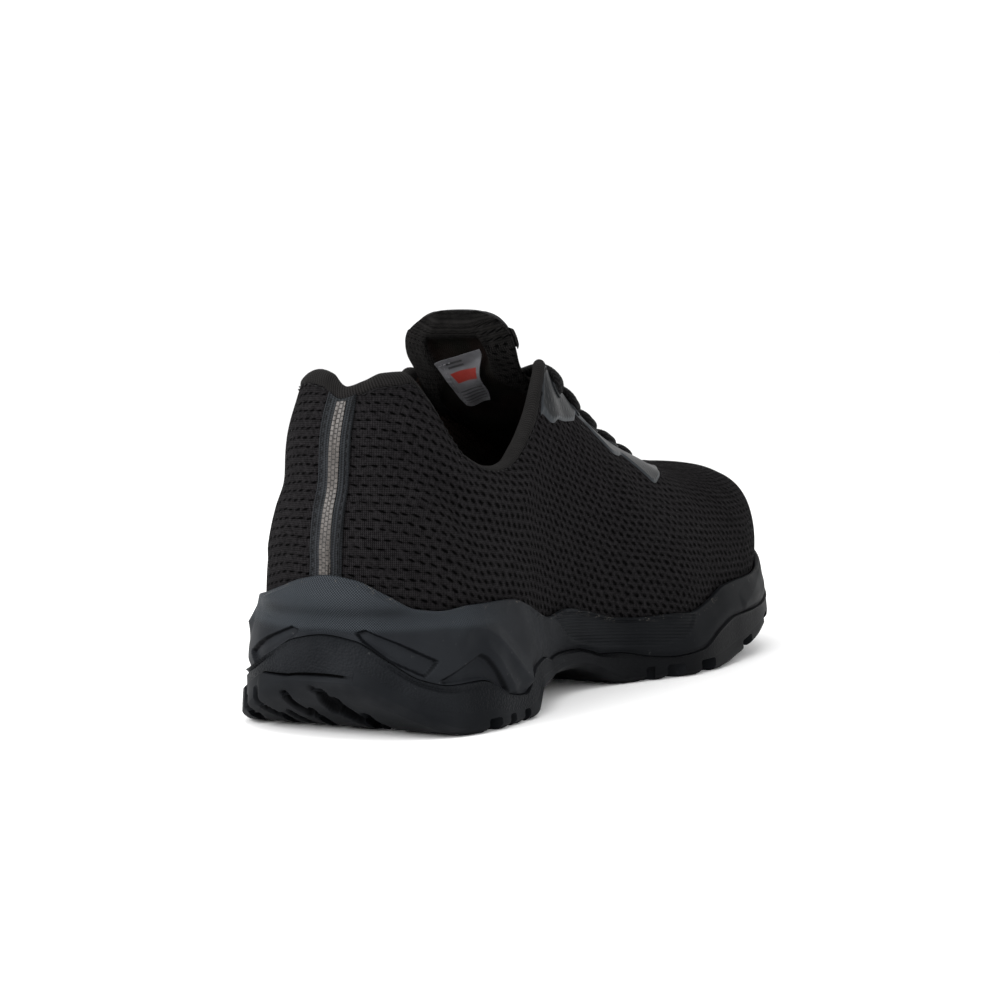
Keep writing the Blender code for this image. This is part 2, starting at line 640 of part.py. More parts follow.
def make_midsole(collection, finish):
    """A cup: its outer wall stands in the outsole's rim, and its inner wall follows the upper."""
    _, _, wrap, floor, lean = sole_levels()
    top = side_level("top", STATION, SIDES) * SIDEWALL_HEIGHT
    low_out = -lean - RIM - GAP
    base = ring_at(low_out, floor + GAP)
    v_top = v_at_height(STATION, SIDES, top)
    flat = np.array([1.0, 1.0, 0.0])

    def on_lip(distance):
        """The ring at the lip's height, off the upper by distance in plan."""
        normal = upper_normal(STATION, SIDES, v_top) * flat
        normal /= np.linalg.norm(normal, axis=1)[:, None]
        made = upper_point(STATION, SIDES, v_top) + normal * distance
        made[:, 2] = top
        return made

    foot = ring_at(low_out, wrap + GAP)
    head = on_lip(SKIN_GAP + LIP)
    rings = [base, foot]
    for share, bulge in ((0.15, 0.9), (0.38, 1.0), (0.68, 0.5)):
        line = foot + (head - foot) * share
        nx, ny = outward(STATION, SIDES)
        swell = 0.0012 * bulge
        line[:, 0] += nx * swell
        line[:, 1] += ny * swell
        rings.append(line)
    rings += [head, on_lip(SKIN_GAP)]
    for share in (0.66, 0.33, 0.0):
        v = v_top * share
        rings.append(upper_skin(STATION, SIDES, v, np.full(len(v), SKIN_GAP)))
    rings[-1][:, 2] -= GAP + GAP
    return cup("midsole", rings, collection, finish)


UPPER_ROWS = 12
INNER_ROWS = 8
RIM_ANGLES = (45, 90, 135)


def make_upper(collection, finish):
    """One hollow wall: the outer face, a rounded rim, the inner face, and the open underside."""
    rows = np.linspace(0, 1, UPPER_ROWS + 1)
    outer = [upper_point(STATION, SIDES, np.full_like(STATION, v)) for v in rows]
    edge = np.ones_like(STATION)
    thick = wall_thickness(STATION, edge)[:, None]
    normal = upper_normal(STATION, SIDES, edge)
    up = upper_point(STATION, SIDES, edge) - upper_point(STATION, SIDES, edge * 0.97)
    up /= np.linalg.norm(up, axis=1)[:, None]
    middle = outer[-1] - normal * thick / 2
    rim = [
        middle
        + normal * thick / 2 * math.cos(math.radians(angle))
        + up * thick / 2 * math.sin(math.radians(angle))
        for angle in RIM_ANGLES
    ]
    inner = [
        upper_skin(STATION, SIDES, np.full_like(STATION, v), -wall_thickness(STATION, v))
        for v in np.linspace(1, 0, INNER_ROWS + 1)
    ]
    inner[-1][:, 2] = outer[0][:, 2]
    rings = outer + rim + inner
    faces = bands(len(rings), len(STATION), closed_rows=True)
    return add_mesh("upper", np.concatenate(rings), faces, collection, finish)


def make_insole(collection, finish):
    inset = -FEATHER_INSET - UPPER_WALL - 2 * GAP
    low = ring_at(inset, 0.0)
    low[:, 2] = bed_level(low[:, 0]) + GAP
    high = low + np.array([0, 0, INSOLE_THICKNESS])
    dish = ring_at(inset - 0.006, 0.0)
    dish[:, 2] = bed_level(dish[:, 0]) + GAP + INSOLE_THICKNESS * 0.8
    return cup("insole", [low, high, dish], collection, finish)


def eyestay_grid(out):
    """Points over the eyestay, from the inner side round the throat's front to the outer. They
    stand at the upper's own stations and between them, so the film clears the wall's edges."""
    first = SCALLOP[0][0]
    own = STATION[: PER_SIDE + 1]
    own = own[own > first + 0.01]
    knots = np.concatenate([[first], own])
    between = [(a + b) / 2 for a, b in zip(knots[:-1], knots[1:]) if b < 0.75]
    one_side = np.sort(np.concatenate([knots, between]))
    station = np.concatenate([one_side, one_side[-2::-1]])
    side = np.concatenate([np.full(len(one_side), INNER), np.full(len(one_side) - 1, OUTER)])
    knots = column(SCALLOP, SCALLOP_COLUMNS, "station")
    reach = through(station, knots, column(SCALLOP, SCALLOP_COLUMNS, "reach")) * THROAT_WIDTH
    slant = FILM_SLANT * (1 - through(station, (first, first + 2 * FILM_SLANT), (0.0, 1.0)))
    grid = []
    for share in (0.0, 0.26, 0.52, 0.77, 1.0):
        moved = station - slant * (1 - share)
        low = v_back(moved, side, reach)
        grid.append(upper_skin(moved, side, low + (0.972 - low) * share, np.full(len(low), out)))
    return np.stack(grid, 1)


def v_back(station, side, distance):
    """The v that lies a distance down the wall from the opening's edge."""
    v = np.linspace(1, 0.2, 61)
    points = upper_point(station[:, None], side[:, None], v[None, :])
    step = np.linalg.norm(np.diff(points, axis=1), axis=2)
    way = np.concatenate([np.zeros((len(station), 1)), np.cumsum(step, axis=1)], axis=1)
    return np.array([np.interp(d, line, v) for d, line in zip(distance, way)])


def make_eyestay(collection, finish):
    outer = eyestay_grid(SKIN_GAP + EYESTAY_THICKNESS)
    return sheet("eyestay", outer, eyestay_grid(SKIN_GAP), collection, finish)


def make_heel_tape(collection, finish):
    """A strip of webbing down the heel's back, from the collar to the midsole's lip."""
    half = TAPE_WIDTH / 2 / (OUTLINE_LENGTH * 0.93)
    station = np.array([half, half * 0.55, 0.0, half * 0.55, half])
    side = np.array([INNER, INNER, INNER, OUTER, OUTER])
    bottom = v_at_height(station, side, np.full(5, SIDEWALL_HEIGHT + 2 * GAP))
    shares = np.linspace(0, 1, 11)
    v = bottom[None, :] + (0.975 - bottom[None, :]) * shares[:, None]

    def grid(out):
        return upper_skin(station[None, :], side[None, :], v, np.full(v.shape, out))

    return sheet("heel_tape", grid(SKIN_GAP + TAPE_THICKNESS), grid(SKIN_GAP), collection, finish)


OUTLINE_LENGTH = float(
    np.sum(np.hypot(np.diff(OUTLINES[INNER][1]), np.diff(OUTLINES[INNER][2])))
)

# The tongue under the throat is a row for each of these stations, from the front. Above the
# throat it goes on with the TONGUE_TOP rows: rise is a share of TONGUE_RISE, back moves it
# towards the heel as a share of the same, wide is a share of TONGUE_WIDTH, and thick a share
# of TONGUE_THICKNESS.
TONGUE_STATIONS = (0.800, 0.742, 0.700, 0.655, 0.626, 0.582, 0.551, 0.519, 0.495, 0.473, 0.450)
TONGUE_UNDER = 0.0075
TOP_COLUMNS = ("rise", "back", "wide", "thick")
TONGUE_TOP = (
    (0.28, 0.36, 0.97, 1.15),
    (0.50, 0.52, 1.00, 1.25),
    (0.68, 0.62, 0.96, 1.30),
    (0.82, 0.69, 0.86, 1.30),
    (0.92, 0.74, 0.68, 1.15),
    (0.98, 0.77, 0.46, 0.80),
)
TONGUE_ACROSS = np.array([-1.0, -0.72, -0.38, 0.0, 0.38, 0.72, 1.0])


def tongue_rows():
    """Outer face and thickness direction of each row of the tongue."""
    faces, normals, thick = [], [], []
    for station in TONGUE_STATIONS:
        ends = []
        for side in (INNER, OUTER):
            s, d = np.array([station] * 3), np.array([side] * 3)
            v = v_back(s, d, np.array([TONGUE_UNDER, TONGUE_UNDER * 0.45, 0.0]))
            depth = wall_thickness(s, v) + SKIN_GAP + GAP
            ends.append((upper_skin(s, d, v, -depth), upper_normal(s, d, v)))
        (inner, n_in), (outer, n_out) = ends
        crown = (inner[2] + outer[2]) / 2
        across_n = (n_in[2] + n_out[2]) / 2
        across_n /= np.linalg.norm(across_n)
        faces.append(np.stack([*inner, crown, *outer[::-1]]))
        normals.append(np.stack([*n_in, across_n, *n_out[::-1]]))
        thick.append(1.0)
    base = faces[-1][3]
    for row in TONGUE_TOP:
        rise, back, wide, fat = row
        half = TONGUE_WIDTH / 2 * wide
        bend = TONGUE_ACROSS * math.radians(46)
        y = TONGUE_SHIFT * min(1.0, rise * 1.6) + half * np.sin(bend) / math.sin(math.radians(46))
        curl = half * (1 - np.cos(bend)) * 0.9
        lift = TONGUE_RISE * rise
        x = base[0] - TONGUE_RISE * back + 0 * y + curl * -0.72
        z = base[2] + lift - curl * 0.34
        faces.append(np.stack([x, y, z], 1))
        normals.append(
            np.stack([0.86 * np.cos(bend), np.sin(bend), 0.5 * np.cos(bend)], 1)
        )
        normals[-1] /= np.linalg.norm(normals[-1], axis=1)[:, None]
        thick.append(fat)
    return np.array(faces), np.array(normals), np.array(thick)


def tongue_section(face, normal, thick):
    """A closed ring round one row: its outer face, and back along its padded inner face."""
    round_off = np.array([0.45, 0.85, 1.0, 1.0, 1.0, 0.85, 0.45])[:, None]
    inner = face - normal * round_off * TONGUE_THICKNESS * thick
    return np.concatenate([face, inner[::-1]])


def make_tongue(collection, finish):
    faces, normals, thick = tongue_rows()
    rings = [tongue_section(f, n, t) for f, n, t in zip(faces, normals, thick)]
    count = len(rings[0])
    quads = bands(len(rings), count)
    for start in (0, (len(rings) - 1) * count):
        half = count // 2
        quads += [
            (start + i, start + i + 1, start + count - i - 2, start + count - i - 1)
            for i in range(half - 1)
        ]
    return add_mesh("tongue", np.concatenate(rings), quads, collection, finish)


def make_tongue_tab(collection, finish):
    """The smooth patch on the front of the tongue's top."""
    faces, normals, _ = tongue_rows()
    rows, middle = slice(-6, -1), slice(1, 6)
    face, normal = faces[rows, middle], normals[rows, middle]
    inner = face + normal * SKIN_GAP
    return sheet("tongue_tab", face + normal * (SKIN_GAP + TAB_THICKNESS), inner, collection, finish)


def eyelet_point(number, side, out):
    """The middle of an eyelet, off the upper's face by out, and its normal."""
    station, side = np.array([EYELETS[number]]), np.array([side])
    v = v_back(station, side, np.array([EYELET_INSET]))
    normal = upper_normal(station, side, v)[0]
    return upper_point(station, side, v)[0] + normal * out, normal


def rim_point(station, side):
    """Where a lace rides over the opening's edge: its middle there, and the way out from it."""
    s, d = np.array([station]), np.array([side])
    edge = np.ones(1)
    normal = upper_normal(s, d, edge)[0]
    up = upper_point(s, d, edge)[0] - upper_point(s, d, edge * 0.97)[0]
    way = normal + 1.2 * up / np.linalg.norm(up)
    way /= np.linalg.norm(way)
    half = float(wall_thickness(s, edge)[0]) / 2
    return upper_point(s, d, edge)[0] - normal * half + way * (half + RIDE), way


def spline(points, count):
    """A smooth path through the points, at count even steps."""
    way = np.concatenate([[0], np.cumsum(np.linalg.norm(np.diff(points, axis=0), axis=1))])
    tangent = np.gradient(points, way, axis=0)
    at = np.linspace(0, way[-1], count)
    i = np.clip(np.searchsorted(way, at, side="right") - 1, 0, len(way) - 2)
    step = (way[i + 1] - way[i])[:, None]
    t = (at - way[i])[:, None] / step
    start = points[i] * (1 + 2 * t) * (1 - t) ** 2 + tangent[i] * step * t * (1 - t) ** 2
    end = points[i + 1] * t * t * (3 - 2 * t) + tangent[i + 1] * step * t * t * (t - 1)
    return start + end


def crossing(number, side, ahead=1):
    """The path of the lace from one eyelet over both edges of the throat to the eyelet that is
    ahead by so many on the other side, and the way out of the shoe along it."""
    off = SKIN_GAP + EYESTAY_THICKNESS + CLEAR + LACE_THICKNESS / 2
    start, n_start = eyelet_point(number, side, off)
    end, n_end = eyelet_point(number + ahead, -side, off)
    pitch = EYELETS[number + ahead] - EYELETS[number]
    near, n_near = rim_point(EYELETS[number] + 0.16 * pitch, side)
    far, n_far = rim_point(EYELETS[number + ahead] - 0.16 * pitch, -side)
    crown = n_near + n_far
    crown /= np.linalg.norm(crown)
    points = np.array([start, near, (near + far) / 2 + crown * CROWN, far, end])
    normals = np.array([n_start, n_near, crown, n_far, n_end])
    normals = spline(normals, 9)
    return spline(points, 9), normals / np.linalg.norm(normals, axis=1)[:, None]


def oval_bar(path, normals, collection):
    """A flat lace along a path of points, as a closed solid."""
    forward = np.gradient(path, axis=0)
    forward /= np.linalg.norm(forward, axis=1)[:, None]
    wide = np.cross(forward, normals)
    wide /= np.linalg.norm(wide, axis=1)[:, None]
    high = np.cross(wide, forward)
    turn = np.radians([0, 50, 130, 180, 230, 310])
    rings = [
        p + np.outer(np.cos(turn), w) * LACE_WIDTH / 2 + np.outer(np.sin(turn), h) * LACE_THICKNESS / 2
        for p, w, h in zip(path, wide, high)
    ]
    count = len(turn)
    faces = bands(len(rings), count)
    faces.append(tuple(range(count)))
    faces.append(tuple((len(rings) - 1) * count + i for i in range(count)))
    return add_mesh("lace_bar", np.concatenate(rings), faces, collection)


def make_lace(collection, helpers, finish):
    """Crossings from each eyelet to the next one on the other side, joined where they meet, and
    the straight bar between the front pair."""
    bars = []
    for number in range(len(EYELETS) - 1):
        for side in (INNER, OUTER):
            path, normal = crossing(number, side)
            bars.append(oval_bar(path, normal, helpers))
    path, normal = crossing(len(EYELETS) - 1, INNER, ahead=0)
    bars.append(oval_bar(path, normal, helpers))
    lace = bars[0]
    helpers.objects.unlink(lace)
    collection.objects.link(lace)
    lace.name = "lace"
    lace.data.materials.append(finish)
    for bar in bars[1:]:
        hide_helper(bar)
        join = lace.modifiers.new("Join", "BOOLEAN")
        join.operation = "UNION"
        join.object = bar
        join.solver = "EXACT"
    return lace


def clear_scene():
    for old in list(bpy.data.objects):
        bpy.data.objects.remove(old)


def new_collection(name, hidden=False):
    made = bpy.data.collections.new(name)
    bpy.context.scene.collection.children.link(made)
    made.hide_render = hidden
    return made


def main():
    clear_scene()
    shoe = new_collection("safety_sneaker")
    cutters = new_collection("cutters", hidden=True)
    bars = new_collection("lace_bars", hidden=True)
    rubber = material("outsole_rubber", (0.012, 0.013, 0.015), 0.62)
    foam = material("midsole_foam", (0.020, 0.023, 0.028), 0.55)
    mesh = material("upper_mesh", (0.010, 0.010, 0.011), 0.85)
    lining = material("lining", (0.009, 0.009, 0.009), 0.9)
    film = material("eyestay_film", (0.055, 0.064, 0.072), 0.35)
    webbing = material("heel_webbing", (0.016, 0.018, 0.021), 0.7)
    cord = material("lace_cord", (0.008, 0.008, 0.009), 0.85)

    outsole = make_outsole(shoe, rubber)
    make_grooves(cutters)
    cut(outsole, cutters)
    make_midsole(shoe, foam)
    make_upper(shoe, mesh)
    make_insole(shoe, lining)
    make_tongue(shoe, mesh)
    make_tongue_tab(shoe, webbing)
    make_eyestay(shoe, film)
    make_heel_tape(shoe, webbing)
    make_lace(shoe, bars, cord)


main()
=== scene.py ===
# %% [markdown]
# A left safety sneaker: a knit upper with a padded collar, a film round its lace holes, a
# padded tongue, a woven strap down the heel, and a sole of two rubbers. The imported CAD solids
# give every piece its place. Each piece is made here again on a finer grid, from the same
# sizes, so it can carry seams, relief and a finish of its own.

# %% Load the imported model
import json
import math

import bmesh
import bpy
import numpy as np
from mathutils import Matrix

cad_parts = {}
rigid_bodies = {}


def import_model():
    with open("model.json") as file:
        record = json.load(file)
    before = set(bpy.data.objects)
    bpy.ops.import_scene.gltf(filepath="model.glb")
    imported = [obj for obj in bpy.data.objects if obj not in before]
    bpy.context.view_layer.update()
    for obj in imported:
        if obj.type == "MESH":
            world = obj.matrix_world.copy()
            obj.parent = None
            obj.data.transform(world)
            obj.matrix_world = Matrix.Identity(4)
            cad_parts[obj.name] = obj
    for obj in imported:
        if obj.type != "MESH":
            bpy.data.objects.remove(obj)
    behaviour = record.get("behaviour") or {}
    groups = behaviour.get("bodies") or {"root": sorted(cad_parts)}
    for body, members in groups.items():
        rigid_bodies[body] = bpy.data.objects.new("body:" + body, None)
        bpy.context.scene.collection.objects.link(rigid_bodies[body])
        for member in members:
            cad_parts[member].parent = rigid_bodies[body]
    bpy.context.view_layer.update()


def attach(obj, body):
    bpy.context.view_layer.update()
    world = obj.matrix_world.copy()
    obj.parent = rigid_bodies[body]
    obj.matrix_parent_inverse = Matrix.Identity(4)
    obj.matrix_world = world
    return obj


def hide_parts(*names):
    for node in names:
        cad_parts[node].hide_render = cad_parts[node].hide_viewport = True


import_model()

# %% [markdown]
# The camera stands behind the heel, low, a little to the inner side, as the photograph does.
# Its place comes from matching the sole's outline and a few seams in the photograph.

# %% Camera
EYE = np.array([-0.636457, -0.339501, 0.113156])
FORWARD = np.array([0.900692, 0.429608, -0.064731])
LENS_MM = 86.3125


def add_camera():
    """A level camera: its right is square to the line of sight and to the vertical."""
    right = np.cross(FORWARD, (0.0, 0.0, 1.0))
    right /= np.linalg.norm(right)
    up = np.cross(right, FORWARD)
    data = bpy.data.cameras.new("photo_view")
    data.lens = LENS_MM
    data.sensor_width = 36.0
    data.clip_start = 0.01
    made = bpy.data.objects.new("photo_view", data)
    axes = np.eye(4)
    axes[:3, 0], axes[:3, 1], axes[:3, 2], axes[:3, 3] = right, up, -FORWARD, EYE
    bpy.context.scene.collection.objects.link(made)
    made.matrix_world = Matrix(axes.tolist())
    bpy.context.scene.camera = made


add_camera()
print("camera is", round(float(np.linalg.norm(EYE)), 2), "m from the heel")

# %% [markdown]
# The shoe's own sizes come next. They are the CAD part's, in metres, and its short tables of
# shares along the sole. Every surface below is a function of a station, which is the share of
# the way round the sole from the heel's back to the toe, a side, and a height up the wall.

# %% Sizes of the shoe
LENGTH = 0.298
HEEL_WIDTH = 0.084
WAIST_WIDTH = 0.070
BALL_WIDTH = 0.1035
HEEL_SEAT = 0.045
HEEL_STACK = 0.026
ARCH_RISE = 0.0085
TOE_SPRING = 0.022
SIDEWALL_HEIGHT = 0.047
WRAP_HEIGHT = 0.030
HEEL_BEVEL = 0.015
PAD_STEP = 0.0014
EDGE_BEVEL = 0.0022
HEEL_HEIGHT = 0.1015
ANKLE_HEIGHT = 0.0766
INSTEP_HEIGHT = 0.107
TOE_HEIGHT = 0.0702
THROAT_TOP = 0.75 * INSTEP_HEIGHT + 0.25 * TOE_HEIGHT
THROAT_MIDDLE = 0.50 * INSTEP_HEIGHT + 0.50 * TOE_HEIGHT
THROAT_FRONT = 0.25 * INSTEP_HEIGHT + 0.75 * TOE_HEIGHT
COLLAR_WIDTH = 0.058
THROAT_WIDTH = 0.030
UPPER_WALL = 0.0026
COLLAR_PAD = 0.0070
FEATHER_INSET = 0.0085
SOLE_PLATE = 0.0060
LUG_DEPTH = 0.0040
RIM = 0.0016
LIP = 0.0018
LEAN = 0.09
INSOLE_THICKNESS = 0.0045
TAPE_WIDTH = 0.012
TONGUE_THICKNESS = 0.0062
TONGUE_RISE = 0.0255
TONGUE_WIDTH = 0.040
TONGUE_SHIFT = 0.002
LACE_WIDTH = 0.0066
LACE_THICKNESS = 0.0030
GAP = 0.0003
SKIN_GAP = 0.00045
INNER, OUTER = -1.0, 1.0

# %% Tables of the sole and the upper


def table(names, *rows):
    """A table's named columns, each as an array."""
    return {name: np.array(values, float) for name, values in zip(names.split(), zip(*rows))}


# The sole seen from above. along is a share of LENGTH, swing moves the middle to the outer
# side as a share of BALL_WIDTH, and spread is the half width as a share of the local width.
PLAN = table(
    "along swing spread",
    (0.000, 0.000, 0.000), (0.013, 0.010, 0.214), (0.040, 0.017, 0.348), (0.084, 0.024, 0.452),
    (0.150, 0.024, 0.500), (0.235, 0.025, 0.500), (0.275, 0.031, 0.502), (0.319, 0.046, 0.500),
    (0.376, 0.057, 0.504), (0.436, 0.054, 0.508), (0.487, 0.043, 0.506), (0.537, 0.024, 0.512),
    (0.594, 0.007, 0.508), (0.654, 0.007, 0.498), (0.721, 0.012, 0.500), (0.789, 0.010, 0.488),
    (0.856, 0.000, 0.444), (0.913, -0.014, 0.362), (0.960, -0.024, 0.239), (0.987, -0.034, 0.130),
    (1.000, -0.039, 0.000),
)

# The sole's side, by station: the share of the way round from the heel's back to the toe.
# top is the midsole's upper edge as a share of SIDEWALL_HEIGHT, wrap the outsole's upper edge
# as a share of WRAP_HEIGHT, and pad how far the crash pad stands out, as a share of PAD_STEP.
# bevel is the under-edge as a share of HEEL_BEVEL, and lean how far the wall leans in as it
# rises, as a share of LEAN.
SIDE = table(
    "station top_in top_out wrap_in wrap_out pad_in pad_out bevel lean",
    (0.000, 1.00, 1.00, 1.00, 1.00, 1.0, 1.0, 0.13, 1.0),
    (0.030, 0.97, 0.97, 0.95, 0.95, 0.0, 1.0, 0.13, 1.0),
    (0.060, 0.88, 0.91, 0.76, 0.80, 0.0, 1.0, 0.13, 1.0),
    (0.090, 0.79, 0.86, 0.57, 0.65, 0.0, 1.0, 0.13, 1.0),
    (0.120, 0.77, 0.83, 0.50, 0.55, 0.0, 0.9, 0.13, 1.0),
    (0.155, 0.79, 0.80, 0.51, 0.49, 0.0, 0.5, 0.13, 1.0),
    (0.200, 0.79, 0.78, 0.32, 0.43, 0.0, 0.0, 0.13, 1.0),
    (0.230, 0.78, 0.77, 0.28, 0.35, 0.0, 0.0, 0.13, 1.0),
    (0.260, 0.73, 0.74, 0.52, 0.32, 0.0, 0.0, 0.13, 1.0),
    (0.285, 0.67, 0.71, 0.56, 0.40, 0.0, 0.0, 0.13, 1.0),
    (0.310, 0.62, 0.68, 0.51, 0.47, 0.0, 0.0, 0.13, 1.0),
    (0.345, 0.58, 0.64, 0.45, 0.46, 0.0, 0.0, 0.13, 1.0),
    (0.386, 0.60, 0.61, 0.42, 0.42, 0.0, 0.0, 0.13, 1.0),
    (0.430, 0.55, 0.56, 0.38, 0.38, 0.0, 0.0, 0.13, 1.0),
    (0.480, 0.47, 0.50, 0.35, 0.34, 0.0, 0.0, 0.13, 1.0),
    (0.522, 0.45, 0.47, 0.27, 0.28, 0.0, 0.0, 0.13, 1.0),
    (0.555, 0.45, 0.45, 0.24, 0.25, 0.0, 0.0, 0.13, 1.0),
    (0.600, 0.44, 0.44, 0.28, 0.27, 0.0, 0.0, 0.13, 1.0),
    (0.645, 0.49, 0.46, 0.45, 0.35, 0.0, 0.0, 0.13, 0.9),
    (0.695, 0.58, 0.49, 0.56, 0.46, 0.0, 0.0, 0.13, 0.8),
    (0.740, 0.60, 0.53, 0.57, 0.52, 0.0, 0.0, 0.13, 0.7),
    (0.800, 0.61, 0.58, 0.60, 0.58, 0.0, 0.0, 0.20, 0.5),
    (0.850, 0.66, 0.65, 0.68, 0.68, 0.0, 0.0, 0.26, 0.3),
    (0.900, 0.77, 0.76, 0.83, 0.83, 0.0, 0.0, 0.32, 0.1),
    (0.950, 0.88, 0.87, 1.00, 1.00, 0.0, 0.0, 0.36, 0.0),
    (1.000, 0.92, 0.92, 1.08, 1.08, 0.0, 0.0, 0.36, 0.0),
)

# The tread's height off the floor: a share of HEEL_BEVEL behind the heel's rest, of ARCH_RISE
# at the waist and of TOE_SPRING at the toe. Between them heel and forefoot rest on the floor.
UNDER = table(
    "along heel arch spring",
    (0.000, 1.00, 0.00, 0.00), (0.020, 0.66, 0.00, 0.00), (0.045, 0.31, 0.00, 0.00),
    (0.072, 0.07, 0.00, 0.00), (0.097, 0.00, 0.00, 0.00), (0.222, 0.00, 0.00, 0.00),
    (0.240, 0.00, 0.85, 0.00), (0.300, 0.00, 1.00, 0.00), (0.400, 0.00, 0.92, 0.00),
    (0.440, 0.00, 0.62, 0.00), (0.472, 0.00, 0.12, 0.00), (0.490, 0.00, 0.00, 0.00),
    (0.658, 0.00, 0.00, 0.00), (0.725, 0.00, 0.00, 0.11), (0.782, 0.00, 0.00, 0.23),
    (0.852, 0.00, 0.00, 0.41), (0.906, 0.00, 0.00, 0.58), (0.956, 0.00, 0.00, 0.79),
    (1.000, 0.00, 0.00, 1.00),
)

# The footbed inside the midsole cup, as a share of HEEL_STACK.
BED = table(
    "along bed",
    (0.000, 1.04), (0.150, 1.00), (0.270, 0.98), (0.376, 0.86), (0.503, 0.68),
    (0.654, 0.60), (0.789, 0.70), (0.906, 0.95), (1.000, 1.22),
)

# The upper's opening, by station. Its edge is at along of LENGTH, in_ and out_ of half the
# named width, and up_in and up_out of the named height.
EDGE = table(
    "station along width in_ out_ height up_in up_out",
    (0.000, 0.047, COLLAR_WIDTH, 0.00, 0.00, HEEL_HEIGHT, 0.964, 0.964),
    (0.030, 0.050, COLLAR_WIDTH, 0.20, 0.22, HEEL_HEIGHT, 0.980, 1.002),
    (0.060, 0.057, COLLAR_WIDTH, 0.39, 0.41, HEEL_HEIGHT, 1.001, 1.012),
    (0.100, 0.074, COLLAR_WIDTH, 0.59, 0.62, HEEL_HEIGHT, 1.005, 0.996),
    (0.134, 0.096, COLLAR_WIDTH, 0.74, 0.77, HEEL_HEIGHT, 0.935, 0.935),
    (0.163, 0.116, COLLAR_WIDTH, 0.84, 0.87, ANKLE_HEIGHT, 1.125, 1.120),
    (0.193, 0.143, COLLAR_WIDTH, 0.93, 0.96, ANKLE_HEIGHT, 1.015, 1.010),
    (0.228, 0.181, COLLAR_WIDTH, 1.00, 1.03, ANKLE_HEIGHT, 0.960, 0.945),
    (0.251, 0.207, COLLAR_WIDTH, 1.00, 1.03, ANKLE_HEIGHT, 0.955, 0.930),
    (0.280, 0.239, COLLAR_WIDTH, 0.99, 1.02, ANKLE_HEIGHT, 0.975, 0.945),
    (0.310, 0.267, COLLAR_WIDTH, 0.96, 1.00, ANKLE_HEIGHT, 1.045, 1.005),
    (0.340, 0.292, COLLAR_WIDTH, 0.93, 0.97, INSTEP_HEIGHT, 0.825, 0.800),
    (0.385, 0.323, COLLAR_WIDTH, 0.87, 0.91, INSTEP_HEIGHT, 0.955, 0.930),
    (0.410, 0.342, COLLAR_WIDTH, 0.82, 0.86, INSTEP_HEIGHT, 1.000, 0.975),
    (0.435, 0.367, COLLAR_WIDTH, 0.73, 0.77, INSTEP_HEIGHT, 0.982, 0.962),
    (0.473, 0.410, THROAT_WIDTH, 1.22, 1.26, INSTEP_HEIGHT, 0.930, 0.918),
    (0.519, 0.470, THROAT_WIDTH, 1.02, 1.04, THROAT_TOP, 0.939, 0.932),
    (0.551, 0.513, THROAT_WIDTH, 0.92, 0.94, THROAT_MIDDLE, 0.981, 0.976),
    (0.582, 0.554, THROAT_WIDTH, 0.85, 0.86, THROAT_FRONT, 1.032, 1.030),
    (0.626, 0.607, THROAT_WIDTH, 0.77, 0.77, TOE_HEIGHT, 1.092, 1.090),
    (0.655, 0.638, THROAT_WIDTH, 0.71, 0.71, TOE_HEIGHT, 1.050, 1.050),
    (0.700, 0.671, THROAT_WIDTH, 0.62, 0.62, TOE_HEIGHT, 1.012, 1.012),
    (0.742, 0.691, THROAT_WIDTH, 0.53, 0.53, TOE_HEIGHT, 0.995, 0.995),
    (0.786, 0.703, THROAT_WIDTH, 0.43, 0.43, TOE_HEIGHT, 0.987, 0.987),
    (0.850, 0.712, THROAT_WIDTH, 0.28, 0.28, TOE_HEIGHT, 0.984, 0.984),
    (0.920, 0.717, THROAT_WIDTH, 0.14, 0.14, TOE_HEIGHT, 0.983, 0.983),
    (1.000, 0.719, THROAT_WIDTH, 0.00, 0.00, TOE_HEIGHT, 0.983, 0.983),
)

# How the upper's wall curves from the sole to that edge. inset is where it starts, in from the
# sole's outline as a share of FEATHER_INSET. belly and roll push its lower and upper handles
# outwards, as shares of BALL_WIDTH. rise and drop are the handles' heights, as shares of the
# wall's own height.
FORM = table(
    "station inset belly rise roll drop",
    (0.00, 1.00, 0.040, 0.34, 0.050, 0.26), (0.10, 1.00, 0.038, 0.34, 0.046, 0.28),
    (0.18, 1.00, 0.036, 0.32, 0.034, 0.28), (0.25, 0.95, 0.034, 0.30, 0.026, 0.28),
    (0.31, 0.74, 0.042, 0.32, 0.028, 0.26), (0.36, 0.52, 0.054, 0.36, 0.036, 0.22),
    (0.41, 0.42, 0.060, 0.40, 0.050, 0.16), (0.47, 0.55, 0.052, 0.42, 0.110, 0.08),
    (0.53, 0.80, 0.040, 0.44, 0.165, 0.05), (0.58, 0.95, 0.032, 0.46, 0.200, 0.04),
    (0.70, 1.00, 0.034, 0.56, 0.290, -0.01), (0.79, 0.90, 0.050, 0.64, 0.360, -0.05),
    (0.88, 0.66, 0.060, 0.76, 0.440, -0.09), (1.00, 0.44, 0.064, 0.86, 0.510, -0.12),
)

